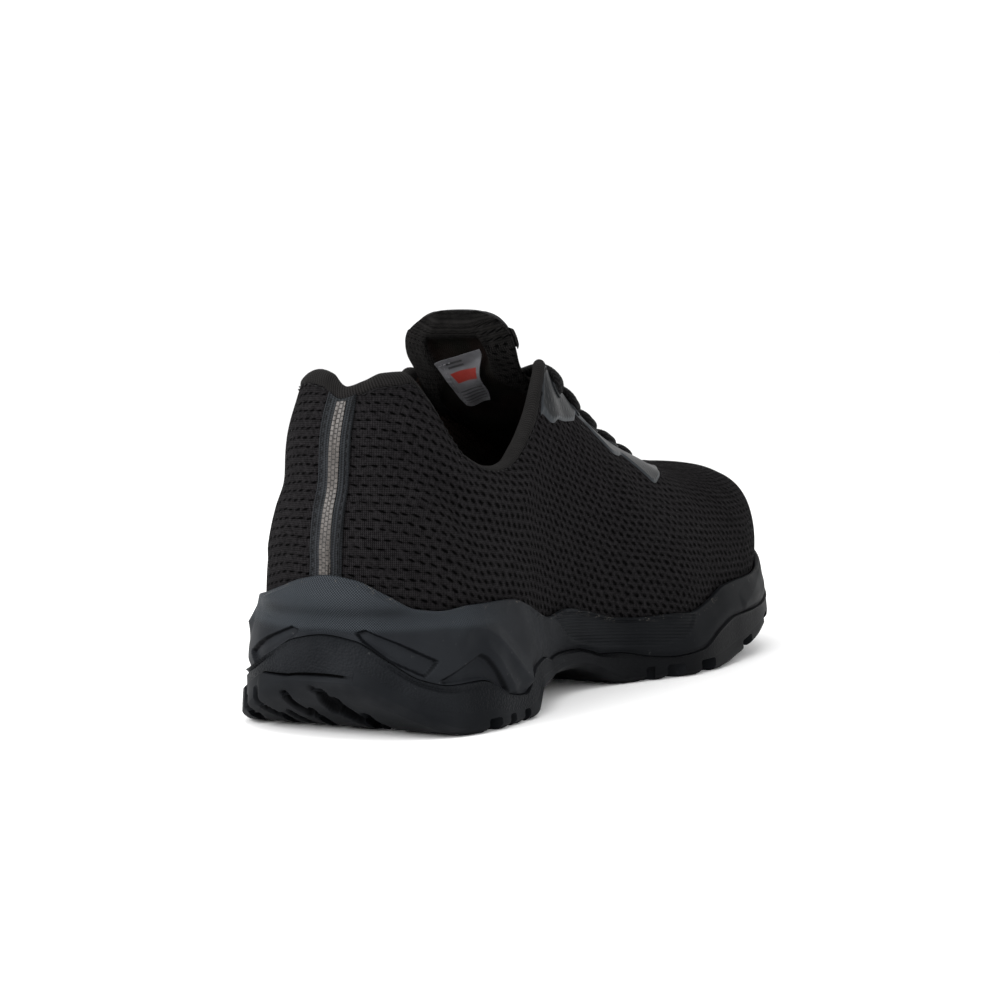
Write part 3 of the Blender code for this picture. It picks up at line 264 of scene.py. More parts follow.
# The eyestay film's lower border: its distance from the throat's edge, as a share of
# THROAT_WIDTH, scalloped between the eyelets. Its rear border slants back by FILM_SLANT of the
# way round, from the throat's edge down.
SCALLOP = table(
    "station reach",
    (0.405, 0.42), (0.420, 0.56), (0.438, 0.62), (0.464, 0.50), (0.490, 0.32), (0.512, 0.32),
    (0.530, 0.44), (0.548, 0.60), (0.563, 0.57), (0.578, 0.50), (0.592, 0.66), (0.607, 0.84),
    (0.630, 0.74), (0.665, 0.56), (0.712, 0.45), (0.800, 0.37), (0.880, 0.30), (1.000, 0.26),
)
EYELETS = (0.443, 0.497, 0.546, 0.594, 0.645)
EYELET_INSET = 0.0065
FILM_SLANT = 0.032
CROWN = 0.0006

# The tread's grooves. along is the middle's share of LENGTH, across its share of the local half
# width, towards the outer side, turn the groove's angle from straight across in degrees,
# width its width in metres, and reach its length as a share of the local half width.
GROOVES = (
    (0.040, 0.66, 84, 0.0034, 0.62), (0.036, 0.40, 88, 0.0036, 0.66),
    (0.034, 0.10, 92, 0.0036, 0.66), (0.036, -0.24, 97, 0.0034, 0.54),
    (0.083, 0.20, 4, 0.0040, 1.30), (0.121, -0.84, 10, 0.0062, 0.90),
    (0.155, -0.84, 10, 0.0040, 0.80), (0.188, -0.84, 12, 0.0042, 0.90),
    (0.130, 0.86, -10, 0.0050, 0.80), (0.168, 0.86, -10, 0.0042, 0.90),
    (0.205, 0.86, -12, 0.0042, 0.80), (0.497, -0.66, 22, 0.0046, 0.96),
    (0.539, -0.76, 18, 0.0066, 0.90), (0.606, -0.76, 12, 0.0104, 0.80),
    (0.672, -0.62, 8, 0.0044, 0.44), (0.745, -0.76, 6, 0.0108, 0.80),
    (0.850, -0.74, -8, 0.0070, 0.80), (0.505, 0.74, -20, 0.0050, 0.90),
    (0.556, 0.76, -16, 0.0064, 0.90), (0.622, 0.76, -12, 0.0096, 0.80),
    (0.690, 0.76, -8, 0.0058, 0.80), (0.765, 0.76, -2, 0.0092, 0.80),
    (0.860, 0.74, 10, 0.0066, 0.80), (0.640, 0.00, 90, 0.0050, 1.20),
    (0.820, 0.00, 90, 0.0046, 0.80),
)

# %% Curves through the tables


def through(at, knots, values, level_ends=True):
    """A smooth curve through the knots that doesn't overshoot them: a monotone cubic."""
    knots = np.asarray(knots, float)
    values = np.asarray(values, float)
    step = np.diff(knots)
    slope = np.diff(values) / step
    same = slope[:-1] * slope[1:] > 0
    safe = np.where(same, slope[:-1] * slope[1:], 1.0)
    tangent = np.zeros(len(knots))
    tangent[1:-1] = np.where(same, 2 * safe / np.where(same, slope[:-1] + slope[1:], 1.0), 0.0)
    if not level_ends:
        tangent[0], tangent[-1] = slope[0], slope[-1]
    at = np.clip(at, knots[0], knots[-1])
    i = np.clip(np.searchsorted(knots, at, side="right") - 1, 0, len(step) - 1)
    t = (at - knots[i]) / step[i]
    start = values[i] * (1 + 2 * t) * (1 - t) ** 2 + tangent[i] * step[i] * t * (1 - t) ** 2
    end = values[i + 1] * t * t * (3 - 2 * t) + tangent[i + 1] * step[i] * t * t * (t - 1)
    return start + end


def local_width(along):
    """The width that belongs to a place along the sole: heel, waist or ball."""
    return through(along, (0.20, 0.39, 0.655), (HEEL_WIDTH, WAIST_WIDTH, BALL_WIDTH))


def outline(side):
    """One side of the sole's outline from the heel's back to the toe: share of the way, x, y
    and the outward normal at many close points."""
    turn = np.linspace(0, math.pi, 1200)
    along = (1 - np.cos(turn)) / 2
    knots = np.arccos(1 - 2 * PLAN["along"])
    swing = through(turn, knots, PLAN["swing"])
    spread = through(turn, knots, PLAN["spread"], level_ends=False)
    x = along * LENGTH - HEEL_SEAT
    y = swing * BALL_WIDTH + side * spread * local_width(along)
    way = np.concatenate([[0], np.cumsum(np.hypot(np.diff(x), np.diff(y)))])
    dx, dy = np.gradient(x), np.gradient(y)
    dx[0] = dx[-1] = 0.0
    size = np.hypot(dx, dy)
    return way / way[-1], x, y, -side * dy / size, side * dx / size


OUTLINES = {INNER: outline(INNER), OUTER: outline(OUTER)}
SIDE_WAY = float(np.hypot(np.diff(OUTLINES[INNER][1]), np.diff(OUTLINES[INNER][2])).sum())


def by_side(side, inner, outer):
    """Takes the inner value where side is INNER, and the outer one elsewhere."""
    return np.where(np.asarray(side) < 0, inner, outer)


def plan(station, side, out=0.0):
    """Points of the outline in plan, moved outwards by out: x and y."""
    found = []
    for which in (INNER, OUTER):
        way, x, y, nx, ny = OUTLINES[which]
        found.append([np.interp(station, way, v) for v in (x, y, nx, ny)])
    x, y, nx, ny = [by_side(side, a, b) for a, b in zip(*found)]
    return x + nx * out, y + ny * out


def outward(station, side):
    """The outline's outward normal in plan."""
    x0, y0 = plan(station, side)
    x1, y1 = plan(station, side, 1.0)
    return x1 - x0, y1 - y0


def share_along(x):
    """The share of LENGTH at which x lies, from the heel's back."""
    return np.clip((np.asarray(x) + HEEL_SEAT) / LENGTH, 0, 1)


def side_level(name, station, side):
    """A level of the sole's side, as a share: top, wrap or pad."""
    knots = SIDE["station"]
    inner = through(station, knots, SIDE[name + "_in"])
    outer = through(station, knots, SIDE[name + "_out"])
    return by_side(side, inner, outer)


def tread_level(x):
    """The height of the lugs' undersides."""
    knots = UNDER["along"]
    heel, arch, spring = [
        through(share_along(x), knots, UNDER[name]) for name in ("heel", "arch", "spring")
    ]
    return heel * HEEL_BEVEL + arch * ARCH_RISE + spring * TOE_SPRING


def bed_level(x):
    """The height of the midsole cup's floor, under the insole."""
    knots = BED["along"]
    return HEEL_STACK * through(share_along(x), knots, BED["bed"])


def edge_point(station, side):
    """The upper's opening edge: x, y and z."""
    knots = EDGE["station"]
    x = through(station, knots, EDGE["along"]) * LENGTH - HEEL_SEAT
    width = EDGE["width"] / 2
    height = EDGE["height"]
    y_in = through(station, knots, width * EDGE["in_"], level_ends=False)
    y_out = through(station, knots, width * EDGE["out_"], level_ends=False)
    z_in = through(station, knots, height * EDGE["up_in"])
    z_out = through(station, knots, height * EDGE["up_out"])
    return x, by_side(side, -y_in, y_out), by_side(side, z_in, z_out)


def upper_point(station, side, v):
    """The upper's outer face, v from 0 at the sole to 1 at the opening: a cubic curve whose
    two handles the FORM table gives."""
    station, side, v = np.broadcast_arrays(station, side, v)
    knots = FORM["station"]
    inset, belly, rise, roll, drop = [
        through(station, knots, FORM[name]) for name in ("inset", "belly", "rise", "roll", "drop")
    ]
    nx, ny = outward(station, side)
    x0, y0 = plan(station, side, -FEATHER_INSET * inset)
    z0 = bed_level(x0) + GAP
    x3, y3, z3 = edge_point(station, side)
    tall = z3 - z0
    start = np.stack([x0, y0, z0], -1)
    end = np.stack([x3, y3, z3], -1)
    out = np.stack([nx, ny, np.zeros_like(nx)], -1) * BALL_WIDTH
    up = np.stack([np.zeros_like(nx), np.zeros_like(nx), tall], -1)
    low = start + out * belly[..., None] + up * rise[..., None]
    high = end + out * roll[..., None] - up * drop[..., None]
    v = v[..., None]
    return (
        start * (1 - v) ** 3
        + low * 3 * v * (1 - v) ** 2
        + high * 3 * v * v * (1 - v)
        + end * v**3
    )


def upper_normal(station, side, v):
    """The outward normal of the upper's face."""
    small = 1e-3
    station, side, v = np.broadcast_arrays(station, side, v)
    station, v = station.astype(float), v.astype(float)

    def stepped(amount):
        """The point a little further round the ring, across heel and toe where it must."""
        moved = station + amount * -side
        turned = (moved < 0) | (moved > 1)
        moved = np.where(moved < 0, -moved, np.where(moved > 1, 2 - moved, moved))
        return upper_point(moved, np.where(turned, -side, side), v)

    round_ = stepped(small) - stepped(-small)
    high, low = np.minimum(v + small, 1), np.maximum(v - small, 0)
    up = upper_point(station, side, high) - upper_point(station, side, low)
    n = np.cross(round_, up)
    return n / np.linalg.norm(n, axis=-1)[..., None]


def wall_thickness(station, v):
    """The upper's wall: plain mesh and lining, with the collar's foam round the ankle."""
    back = 1 - through(station, (0.26, 0.40), (0.0, 1.0))
    pad = back * through(v, (0.35, 0.80), (0.0, 1.0))
    return UPPER_WALL + (COLLAR_PAD - UPPER_WALL) * pad


def upper_skin(station, side, v, out):
    """A point off the upper's outer face by out, outwards."""
    return upper_point(station, side, v) + upper_normal(station, side, v) * np.asarray(out)[..., None]


def v_back(station, side, distance):
    """The v that lies a distance down the wall from the opening's edge."""
    v = np.linspace(1, 0.2, 61)
    points = upper_point(station[:, None], side[:, None], v[None, :])
    step = np.linalg.norm(np.diff(points, axis=1), axis=2)
    way = np.concatenate([np.zeros((len(station), 1)), np.cumsum(step, axis=1)], axis=1)
    return np.array([np.interp(d, line, v) for d, line in zip(distance, way)])


def v_at_height(station, side, z):
    """The v at which the upper's face reaches the height z, low on the wall."""
    v = np.linspace(0, 1, 121)
    rows = upper_point(station[:, None], side[:, None], v[None, :])[..., 2]
    climb = np.maximum.accumulate(rows, axis=1)
    return np.array([np.interp(height, line, v) for height, line in zip(z, climb)])


def around(per_side, cluster=0.35):
    """Stations and sides once round the shoe, closer together at heel and toe: the station is
    t - cluster sin(2 pi t) / 2 pi."""
    t = np.arange(per_side + 1) / per_side
    station = t - cluster * np.sin(2 * math.pi * t) / (2 * math.pi)
    side = np.concatenate([np.full(per_side + 1, INNER), np.full(per_side - 1, OUTER)])
    return np.concatenate([station, station[-2:0:-1]]), side


def smooth(low, high, x):
    """0 below low and 1 above high, with a level start and end between: t t (3 - 2 t)."""
    t = np.clip((np.asarray(x, float) - low) / (high - low), 0, 1)
    return t * t * (3 - 2 * t)


def hump(x, middle, half):
    """A soft hill of height 1: exp(-((x - middle) / half)^2)."""
    return np.exp(-(((np.asarray(x, float) - middle) / half) ** 2))


print("sole's way round one side:", round(SIDE_WAY, 4), "m")

# %% [markdown]
# Every piece is a grid of points joined by quads. The order of the points decides which way a
# face looks, so each grid runs round the shoe against the clock, seen from above, and up.

# %% Grids into meshes


def grid_faces(rows, columns, closed_rows=False, closed_columns=False):
    """Quads between neighbours of a rows x columns grid that is counted row by row."""
    r = np.arange(rows if closed_rows else rows - 1)
    c = np.arange(columns if closed_columns else columns - 1)
    r, c = np.meshgrid(r, c, indexing="ij")
    r2, c2 = (r + 1) % rows, (c + 1) % columns
    quads = [r * columns + c, r * columns + c2, r2 * columns + c2, r2 * columns + c]
    return np.stack(quads, -1).reshape(-1, 4)


def make_piece(name, points, faces, finishes, uvs=None, values=None, replaces=(), part=None,
               sharp=50):
    """One object from points and faces. uvs and values are named maps with an entry a point,
    and part gives each face the number of its finish."""
    points = np.asarray(points, float).reshape(-1, 3)
    mesh = bpy.data.meshes.new(name)
    mesh.from_pydata(points.tolist(), [], [tuple(f) for f in np.asarray(faces).tolist()]
                     if isinstance(faces, np.ndarray) else faces)
    corner = np.empty(len(mesh.loops), np.int64)
    mesh.loops.foreach_get("vertex_index", corner)
    for key, uv in (uvs or {}).items():
        layer = mesh.uv_layers.new(name=key)
        layer.data.foreach_set("uv", np.asarray(uv, np.float32).reshape(-1, 2)[corner].ravel())
    for key, value in (values or {}).items():
        attribute = mesh.attributes.new(key, "FLOAT", "POINT")
        attribute.data.foreach_set("value", np.asarray(value, np.float32).ravel())
    for finish in finishes if isinstance(finishes, (list, tuple)) else [finishes]:
        mesh.materials.append(finish)
    if part is not None:
        mesh.polygons.foreach_set("material_index", np.asarray(part, np.int32))
    mesh.shade_smooth()
    mesh.set_sharp_from_angle(angle=math.radians(sharp))
    made = bpy.data.objects.new(name, mesh)
    bpy.context.scene.collection.objects.link(made)
    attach(made, "root")
    if replaces:
        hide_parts(*replaces)
    print(name, len(mesh.vertices), "points,", sum(len(p.vertices) - 2 for p in mesh.polygons), "triangles")
    return made


def unit(vectors):
    """Vectors of length one: each over its own length."""
    return vectors / np.maximum(np.linalg.norm(vectors, axis=-1, keepdims=True), 1e-12)


def face_outwards(mesh, welded=0.0):
    """Turns every face of a mesh to look out of its solid. Points closer together than welded
    are joined first."""
    shape = bmesh.new()
    shape.from_mesh(mesh)
    if welded:
        bmesh.ops.remove_doubles(shape, verts=shape.verts, dist=welded)
    bmesh.ops.recalc_face_normals(shape, faces=shape.faces)
    shape.to_mesh(mesh)
    shape.free()


def between_sides(ring):
    """For each point of a ring, the place halfway to the point across the shoe from it."""
    return (ring + ring[(-np.arange(len(ring))) % len(ring)]) / 2


def way_along(points, axis):
    """The distance from the first point, added up along one axis of a grid."""
    step = np.linalg.norm(np.diff(points, axis=axis), axis=-1)
    start = np.zeros_like(np.take(step, [0], axis=axis))
    return np.concatenate([start, np.cumsum(step, axis=axis)], axis=axis)


# %% [markdown]
# A finish is a graph of small sums. Writing each sum as a node by hand is long, so a Field is
# one number of the graph, and adding or multiplying two Fields lays the node for it.

# %% Sums inside a material


class Field:
    """A number that the material works out at each point of the surface."""

    def __init__(self, tree, socket):
        self.tree = tree
        self.socket = socket

    def sum(self, operation, *others):
        node = self.tree.nodes.new("ShaderNodeMath")
        node.operation = operation
        self.tree.links.new(self.socket, node.inputs[0])
        for number, other in enumerate(others, 1):
            if isinstance(other, Field):
                self.tree.links.new(other.socket, node.inputs[number])
            else:
                node.inputs[number].default_value = other
        return Field(self.tree, node.outputs[0])

    def __add__(self, other):
        return self.sum("ADD", other)

    def __sub__(self, other):
        return self.sum("SUBTRACT", other)

    def __mul__(self, other):
        return self.sum("MULTIPLY", other)

    def __truediv__(self, other):
        return self.sum("DIVIDE", other)

    def __pow__(self, other):
        return self.sum("POWER", other)

    __radd__, __rmul__ = __add__, __mul__

    def flip(self):
        """One minus the number."""
        return self * -1.0 + 1.0

    def size(self):
        return self.sum("ABSOLUTE")

    def floor(self):
        return self.sum("FLOOR")

    def part(self):
        """What is left above the whole number below."""
        return self.sum("FRACT")

    def sin(self):
        return self.sum("SINE")

    def most(self, other):
        return self.sum("MAXIMUM", other)

    def least(self, other):
        return self.sum("MINIMUM", other)

    def ramp(self, low, high, start=0.0, end=1.0):
        """start below low and end above high, smooth between them."""
        node = self.tree.nodes.new("ShaderNodeMapRange")
        node.interpolation_type = "SMOOTHSTEP"
        self.tree.links.new(self.socket, node.inputs["Value"])
        names = ("From Min", "From Max", "To Min", "To Max")
        for name, value in zip(names, (low, high, start, end)):
            if isinstance(value, Field):
                self.tree.links.new(value.socket, node.inputs[name])
            else:
                node.inputs[name].default_value = value
        return Field(self.tree, node.outputs["Result"])


class Finish:
    """A material under construction: its shader, and the maps that its sums start from."""

    def __init__(self, name, roughness, specular=0.5, sheen=0.0):
        self.made = bpy.data.materials.new(name)
        self.made.use_nodes = True
        self.tree = self.made.node_tree
        self.shader = self.tree.nodes["Principled BSDF"]
        for socket, value in (
            ("Roughness", roughness), ("Specular IOR Level", specular), ("Sheen Weight", sheen),
            ("Sheen Roughness", 0.6),
        ):
            self.shader.inputs[socket].default_value = value
        self.height = None

    def node(self, kind, **values):
        made = self.tree.nodes.new(kind)
        for key, value in values.items():
            setattr(made, key, value)
        return made

    def place(self):
        """Object coordinates as a vector."""
        return self.node("ShaderNodeTexCoord").outputs["Object"]

    def moved_place(self, far):
        """Object coordinates moved aside, for a second noise that doesn't follow the first."""
        made = self.node("ShaderNodeVectorMath", operation="ADD")
        made.inputs[1].default_value = (far, -far, far * 0.5)
        self.tree.links.new(self.place(), made.inputs[0])
        return made.outputs[0]

    def uv(self, name):
        """The two numbers of a UV map, in metres."""
        made = self.node("ShaderNodeUVMap", uv_map=name)
        parts = self.node("ShaderNodeSeparateXYZ")
        self.tree.links.new(made.outputs[0], parts.inputs[0])
        return Field(self.tree, parts.outputs[0]), Field(self.tree, parts.outputs[1])

    def value(self, name):
        """A named number of the mesh."""
        made = self.node("ShaderNodeAttribute", attribute_name=name)
        return Field(self.tree, made.outputs["Fac"])

    def noise(self, scale, detail=2.0, roughness=0.5, at=None):
        """Cloudy noise about 0.5, with scale cells a metre."""
        made = self.node("ShaderNodeTexNoise")
        made.inputs["Scale"].default_value = scale
        made.inputs["Detail"].default_value = detail
        made.inputs["Roughness"].default_value = roughness
        self.tree.links.new(at or self.place(), made.inputs["Vector"])
        return Field(self.tree, made.outputs["Fac"])

    def cells(self, scale, feature="F1", smoothness=None):
        """The distance to the nearest of scattered points, or to the wall between them."""
        made = self.node("ShaderNodeTexVoronoi", feature=feature)
        made.inputs["Scale"].default_value = scale
        if smoothness is not None:
            made.inputs["Smoothness"].default_value = smoothness
        self.tree.links.new(self.place(), made.inputs["Vector"])
        return Field(self.tree, made.outputs["Distance"])

    def colour(self, share, low, high):
        """A colour between two, by a Field or from the colour of an earlier mix."""
        made = self.node("ShaderNodeMix", data_type="RGBA")
        self.tree.links.new(share.socket, made.inputs["Factor"])
        for socket, value in ((made.inputs[6], low), (made.inputs[7], high)):
            if isinstance(value, tuple):
                socket.default_value = (*value, 1.0)
            else:
                self.tree.links.new(value, socket)
        return made.outputs[2]

    def paint(self, colour):
        self.tree.links.new(colour, self.shader.inputs["Base Color"])

    def rough(self, field):
        self.tree.links.new(field.socket, self.shader.inputs["Roughness"])

    def relief(self, field, depth, strength=1.0):
        """A bump of the given depth in metres where the Field goes from 0 to 1."""
        made = self.node("ShaderNodeBump")
        made.inputs["Distance"].default_value = depth
        made.inputs["Strength"].default_value = strength
        self.tree.links.new(field.socket, made.inputs["Height"])
        if self.height is not None:
            self.tree.links.new(self.height, made.inputs["Normal"])
        self.height = made.outputs[0]
        self.tree.links.new(self.height, self.shader.inputs["Normal"])


def hole_cells(u, v, pitch, size, slant=0.0, lean=0.0, weak=0.0):
    """A knit's holes: cells of pitch, every second row moved by half a cell, with an oval of
    the half size (a, b) in each. The number is |x/a|^2 + |y/b|^2, which is below 1 in a hole.
    slant turns the ovals, lean moves them with their height, and weak makes every second
    row's holes smaller."""
    row = (v / pitch[1]).floor()
    odd = (row * 0.5).part()
    x = ((u / pitch[0] + odd).part() - 0.5) * pitch[0]
    y = ((v / pitch[1]).part() - 0.5) * pitch[1]
    tilted = y + x * slant
    moved = x + y * lean
    far = (moved / size[0]).size() ** 2.0 + (tilted / size[1]).size() ** 2.0
    return far * (odd * (2.0 * weak) + 1.0)


def holes(u, v, pitch, size, slant=0.0, lean=0.0):
    """The same cells as a cover: 1 in a hole and 0 round it, with a soft edge."""
    return hole_cells(u, v, pitch, size, slant, lean).ramp(1.35, 0.45)


def stitches(u, v, wide, tall):
    """Knit stitches: columns of V shapes, from sin(2 pi (v / tall + |x| share))."""
    x = ((u / wide).part() - 0.5).size()
    legs = (v / tall + x * 1.1) * (2 * math.pi)
    return legs.sin() * 0.32 + x.ramp(0.5, 0.15) * 0.68


print("the finish tools are ready")

# %% [markdown]
# The upper is a black knit, pulled over a last, so its rows of small holes bend with the shoe.
# Real knit is flat cloth. Two flat maps lay it back: one rolls the heel's wall out along the
# sole, and one lays the front out from the throat, as a pattern cutter would. The wall is one
# shell with a padded collar. Its soft dents and swells are put in one by one, as small moves
# along the surface's own outward direction.

# %% The upper's outer form
AROUND = 230
WALL_ROWS = 112
LINING_ROWS = 34
RIM_STEPS = 9
REAR_END = 0.385
station_grid, side_grid = around(AROUND)


def crease(station, side, v):
    """Moves of the upper's face, outwards in metres: the collar's swell, the seam groove under
    it, a hollow above the waist's sole line, dents at the ball, and uneven hand-lasted waves."""
    back = 1 - smooth(0.27, 0.40, station)
    low_back = 1 - smooth(0.10, 0.24, station)
    x = station * 2 * math.pi
    swell = 0.0011 * back * hump(v, 0.83, 0.13)
    under = -0.0009 * back * hump(v, 0.60, 0.10)
    waist = -0.0016 * hump(station, 0.335, 0.055) * hump(v, 0.36, 0.22)
    ball = -0.0007 * hump(station, 0.575, 0.035) * hump(v, 0.52, 0.12)
    ball += 0.0006 * hump(station, 0.545, 0.022) * hump(v, 0.50, 0.14)
    ball += -0.0005 * hump(station, 0.62, 0.020) * hump(v, 0.60, 0.10)
    counter = 0.0005 * low_back * smooth(0.30, 0.36, v) * (1 - smooth(0.50, 0.60, v))
    slack = 0.00022 * np.sin(7 * x + 3.1 * v + side) * np.sin(5.3 * v + 2 * x)
    slack += 0.00012 * np.sin(17 * x - 4 * v) * np.sin(11 * v + 1.3 * side)
    return swell + under + waist + ball + counter + slack * smooth(0.02, 0.15, v) * (1 - smooth(0.9, 1.0, v))


def knit_face(station, side, v, out=0.0):
    """The finished outer face: the last's face moved out by its creases and by out."""
    station, side, v = np.broadcast_arrays(station, side, v)
    return upper_skin(station, side, v, crease(station, side, v) + out)


def rim_ring(station, side, angle, extra=0.0):
    """The rounded top of the wall at an angle: 0 is its outer face and 180 its inner one."""
    edge = np.ones_like(station)
    angle = np.radians(np.asarray(angle, float))[..., None]
    thick = wall_thickness(station, edge)[:, None]
    normal = upper_normal(station, side, edge)
    up = unit(upper_point(station, side, edge) - upper_point(station, side, edge * 0.97))
    middle = upper_point(station, side, edge) - normal * thick / 2
    reach = thick / 2 + np.asarray(extra, float)[..., None]
    return middle + (normal * np.cos(angle) + up * np.sin(angle)) * reach


def flat_maps(station, side, points):
    """Two flat maps of the wall in metres. rear: the way from the heel's back along the sole,
    and the height. front: each curve of the wall laid flat outwards from the throat, and on
    over the rim."""
    tall = way_along(points, 0)
    rear = np.stack([np.broadcast_to(station * SIDE_WAY * 0.94, tall.shape), tall], -1)
    down = tall[WALL_ROWS] - tall
    ex, ey, _ = edge_point(station, side)
    ox, oy = plan(station, side)
    turn = unit(np.stack([ox - ex, oy - ey], -1))
    front = np.stack([ex + down * turn[:, 0], (ey + down * turn[:, 1]) * side], -1)
    return rear, front


outer_v = np.linspace(0, 1, WALL_ROWS + 1)
outer_face = knit_face(station_grid[None, :], side_grid[None, :], outer_v[:, None])
print("knit wall:", outer_face.shape[0], "rows of", outer_face.shape[1], "points")

# %% [markdown]
# The knit's finish: black yarn in fine stitches, with rows of holes. Beside the heel strap the
# holes are thin, level dashes. Along the waist they are short and slanted, every second row
# fainter, with plump ribs between them, and over the toes they are wide ovals. Holes are
# darker and lie deeper than the yarn. The ribs between holes are painted lighter and the yarn
# round each hole darker, as painted light and shade, and the knit ahead of the heel is painted
# darker, as painted shade.

# %% Knit and lining


def knit_finish():
    made = Finish("upper_mesh", 0.90, specular=0.012, sheen=0.003)
    ru, rv = made.uv("rear")
    fu, fv = made.uv("front")
    front, toe, plain = made.value("front"), made.value("toe"), made.value("plain")
    drift, drift2 = made.noise(90.0, 2.0), made.noise(70.0, 2.0, at=made.moved_place(0.31))
    uneven = made.noise(230.0, 1.0).ramp(0.3, 0.7, 0.75, 1.35)
    opening = ru.ramp(0.012, 0.075)
    rise = rv + ru * ru.ramp(0.010, 0.060) * 0.13 + (drift - 0.5) * 0.0020
    across = ru + (drift2 - 0.5) * 0.0026
    size = (opening * -0.00012 + 0.00115, opening * 0.00028 + 0.00026)
    rear = hole_cells(across, rise, (0.0041, 0.00265), size, slant=opening * 0.25 + 0.10, lean=opening * -0.2)
    ahead = fu + (drift - 0.5) * 0.0012
    down = fv + fu * 0.10 + (drift2 - 0.5) * 0.0010
    small = hole_cells(ahead, down, (0.0034, 0.00235), (0.00088, 0.00050), slant=-0.52, lean=0.45, weak=0.55)
    large = hole_cells(ahead, down, (0.0041, 0.0028), (0.00120, 0.00074), slant=-0.22, lean=0.2)
    # The swell of the ribs between holes is also painted into the colour: lighter ribs and darker yarn round
    # each hole, as painted light and shade.
    open_, plump_and_shade = [], []
    for cells, soft in ((rear, 0.50), (small, 0.32), (large, 0.32)):
        open_.append((cells * uneven).ramp(0.9 + soft, 0.9 - soft))
        plump_and_shade.append(cells.ramp(0.6, 4.6))
    plump_and_shade[0] = plump_and_shade[0] * (opening * 0.5 + 0.3) + 0.35
    open_, plump_and_shade = [
        rear * front.flip() + (small * toe.flip() + large * toe) * front
        for rear, small, large in (open_, plump_and_shade)
    ]
    open_ = open_ * plain.flip()
    rear_yarn = stitches(ru, rv, 0.00066, 0.00062)
    front_yarn = stitches(fu - fv * 0.5, fv, 0.00066, 0.00062)
    yarn = rear_yarn * front.flip() + front_yarn * front
    cloud = made.noise(900.0, 3.0, 0.65)
    # front * 0.08 paints the knit ahead of the heel darker: painted shade.
    tone = yarn * 0.55 + cloud * 0.95 + plump_and_shade * 0.26 - front * 0.08 - 0.33
    body = made.colour(tone.ramp(0.18, 1.00), (0.0006, 0.0005, 0.0006), (0.0175, 0.0164, 0.0174))
    made.paint(made.colour(open_, body, (0.0001, 0.0001, 0.0001)))
    made.relief(yarn + cloud * 0.8, 0.00016, 1.0)
    made.relief(open_.flip() * 0.7 + plump_and_shade * 0.5, 0.00105, 1.0)
    return made.made


def lining_finish():
    made = Finish("lining", 0.92, specular=0.05, sheen=0.01)
    u, v = made.uv("rear")
    yarn = stitches(u, v, 0.0009, 0.0011)
    spots = holes(u, v, (0.0018, 0.0021), (0.00035, 0.00035))
    patch = made.noise(38.0, 2.0)
    dark = made.colour(patch.ramp(0.4, 0.62), (0.0230, 0.0215, 0.0165), (0.0430, 0.0250, 0.0210))
    body = made.colour(yarn.ramp(0.0, 1.0, 0.0, 0.45), dark, (0.046, 0.036, 0.031))
    made.paint(made.colour(spots, body, (0.0025, 0.0020, 0.0020)))
    made.relief(yarn, 0.00016, 0.8)
    return made.made


knit = knit_finish()
lining = lining_finish()
print("knit has", len(knit.node_tree.nodes), "nodes")

# %% [markdown]
# Outer face, rim and lining are one closed wall, as in the CAD. Numbers on its points tell the
# finish where the front's holes start, where the toe's wide ones do, and where the cloth is
# plain.

# %% The upper


def make_upper_knit():
    rim = [rim_ring(station_grid, side_grid, a) for a in np.linspace(0, 180, RIM_STEPS + 2)[1:-1]]
    inner_v = np.linspace(1, 0, LINING_ROWS + 1)
    inner = []
    for v in inner_v:
        row = np.full_like(station_grid, v)
        soft = 0.0006 * np.sin(station_grid * 38) * np.sin(v * 9)
        back = 1 - smooth(0.22, 0.36, station_grid)
        soft = soft * smooth(0.1, 0.3, 1 - v) - 0.0012 * back * hump(v, 0.72, 0.16)
        inner.append(upper_skin(station_grid, side_grid, row, -wall_thickness(station_grid, row) + soft))
    inner = np.array(inner)
    inner[-1][:, 2] = outer_face[0][:, 2]
    points = np.concatenate([outer_face, np.array(rim), inner])
    rows, columns = points.shape[:2]
    faces = grid_faces(rows, columns, closed_rows=True, closed_columns=True)
    row_of = faces[:, 0] // columns
    part = np.where(row_of < WALL_ROWS + 6, 0, 1)
    tall = way_along(points, 0)
    rear, front = flat_maps(station_grid, side_grid, points)
    station = np.broadcast_to(station_grid, tall.shape)
    v = np.concatenate([outer_v, np.ones(len(rim)), inner_v])[:, None]
    wave = 0.012 * np.sin(v * 16) + 0.006 * np.sin(v * 41 + 1)
    is_front = smooth(REAR_END - 0.015, REAR_END + 0.015, station + wave)
    x = points[..., 0] + 0.15 * (points[..., 2] - 0.04)
    is_toe = smooth(0.150, 0.185, x + 0.3 * wave)
    low = 1 - smooth(0.0, 0.004, tall)
    return make_piece(
        "upper_knit", points, faces, [knit, lining],
        uvs={"rear": rear, "front": front},
        values={"front": is_front, "toe": is_toe, "plain": low}, part=part, replaces=("upper",),
    )


upper_knit = make_upper_knit()

# %% [markdown]
# The midsole is a cup of firm foam round the upper's foot. Its wall is sculpted: chevron-ended
# panels and claw-like ridges on both sides of the heel, fine ribs at the waist and a leaf-shaped
# field at the ball. The relief is a height over a chart of the wall: the place along the sole
# in x, and the height over the floor. Each form is a polygon or a line with soft edges.

# %% Forms on the sole's side chart


def from_line(x, z, line):
    """The distance in metres from chart points to a line of corners, which are given in mm."""
    line = np.array(line, float) / 1000
    lengths = np.hypot(*np.diff(line, axis=0).T)
    best = np.full(np.broadcast(x, z).shape, 1e9)
    for (ax, az), (bx, bz), size in zip(line[:-1], line[1:], lengths):
        t = np.clip(((x - ax) * (bx - ax) + (z - az) * (bz - az)) / size**2, 0, 1)
        best = np.minimum(best, np.hypot(x - ax - t * (bx - ax), z - az - t * (bz - az)))
    return best


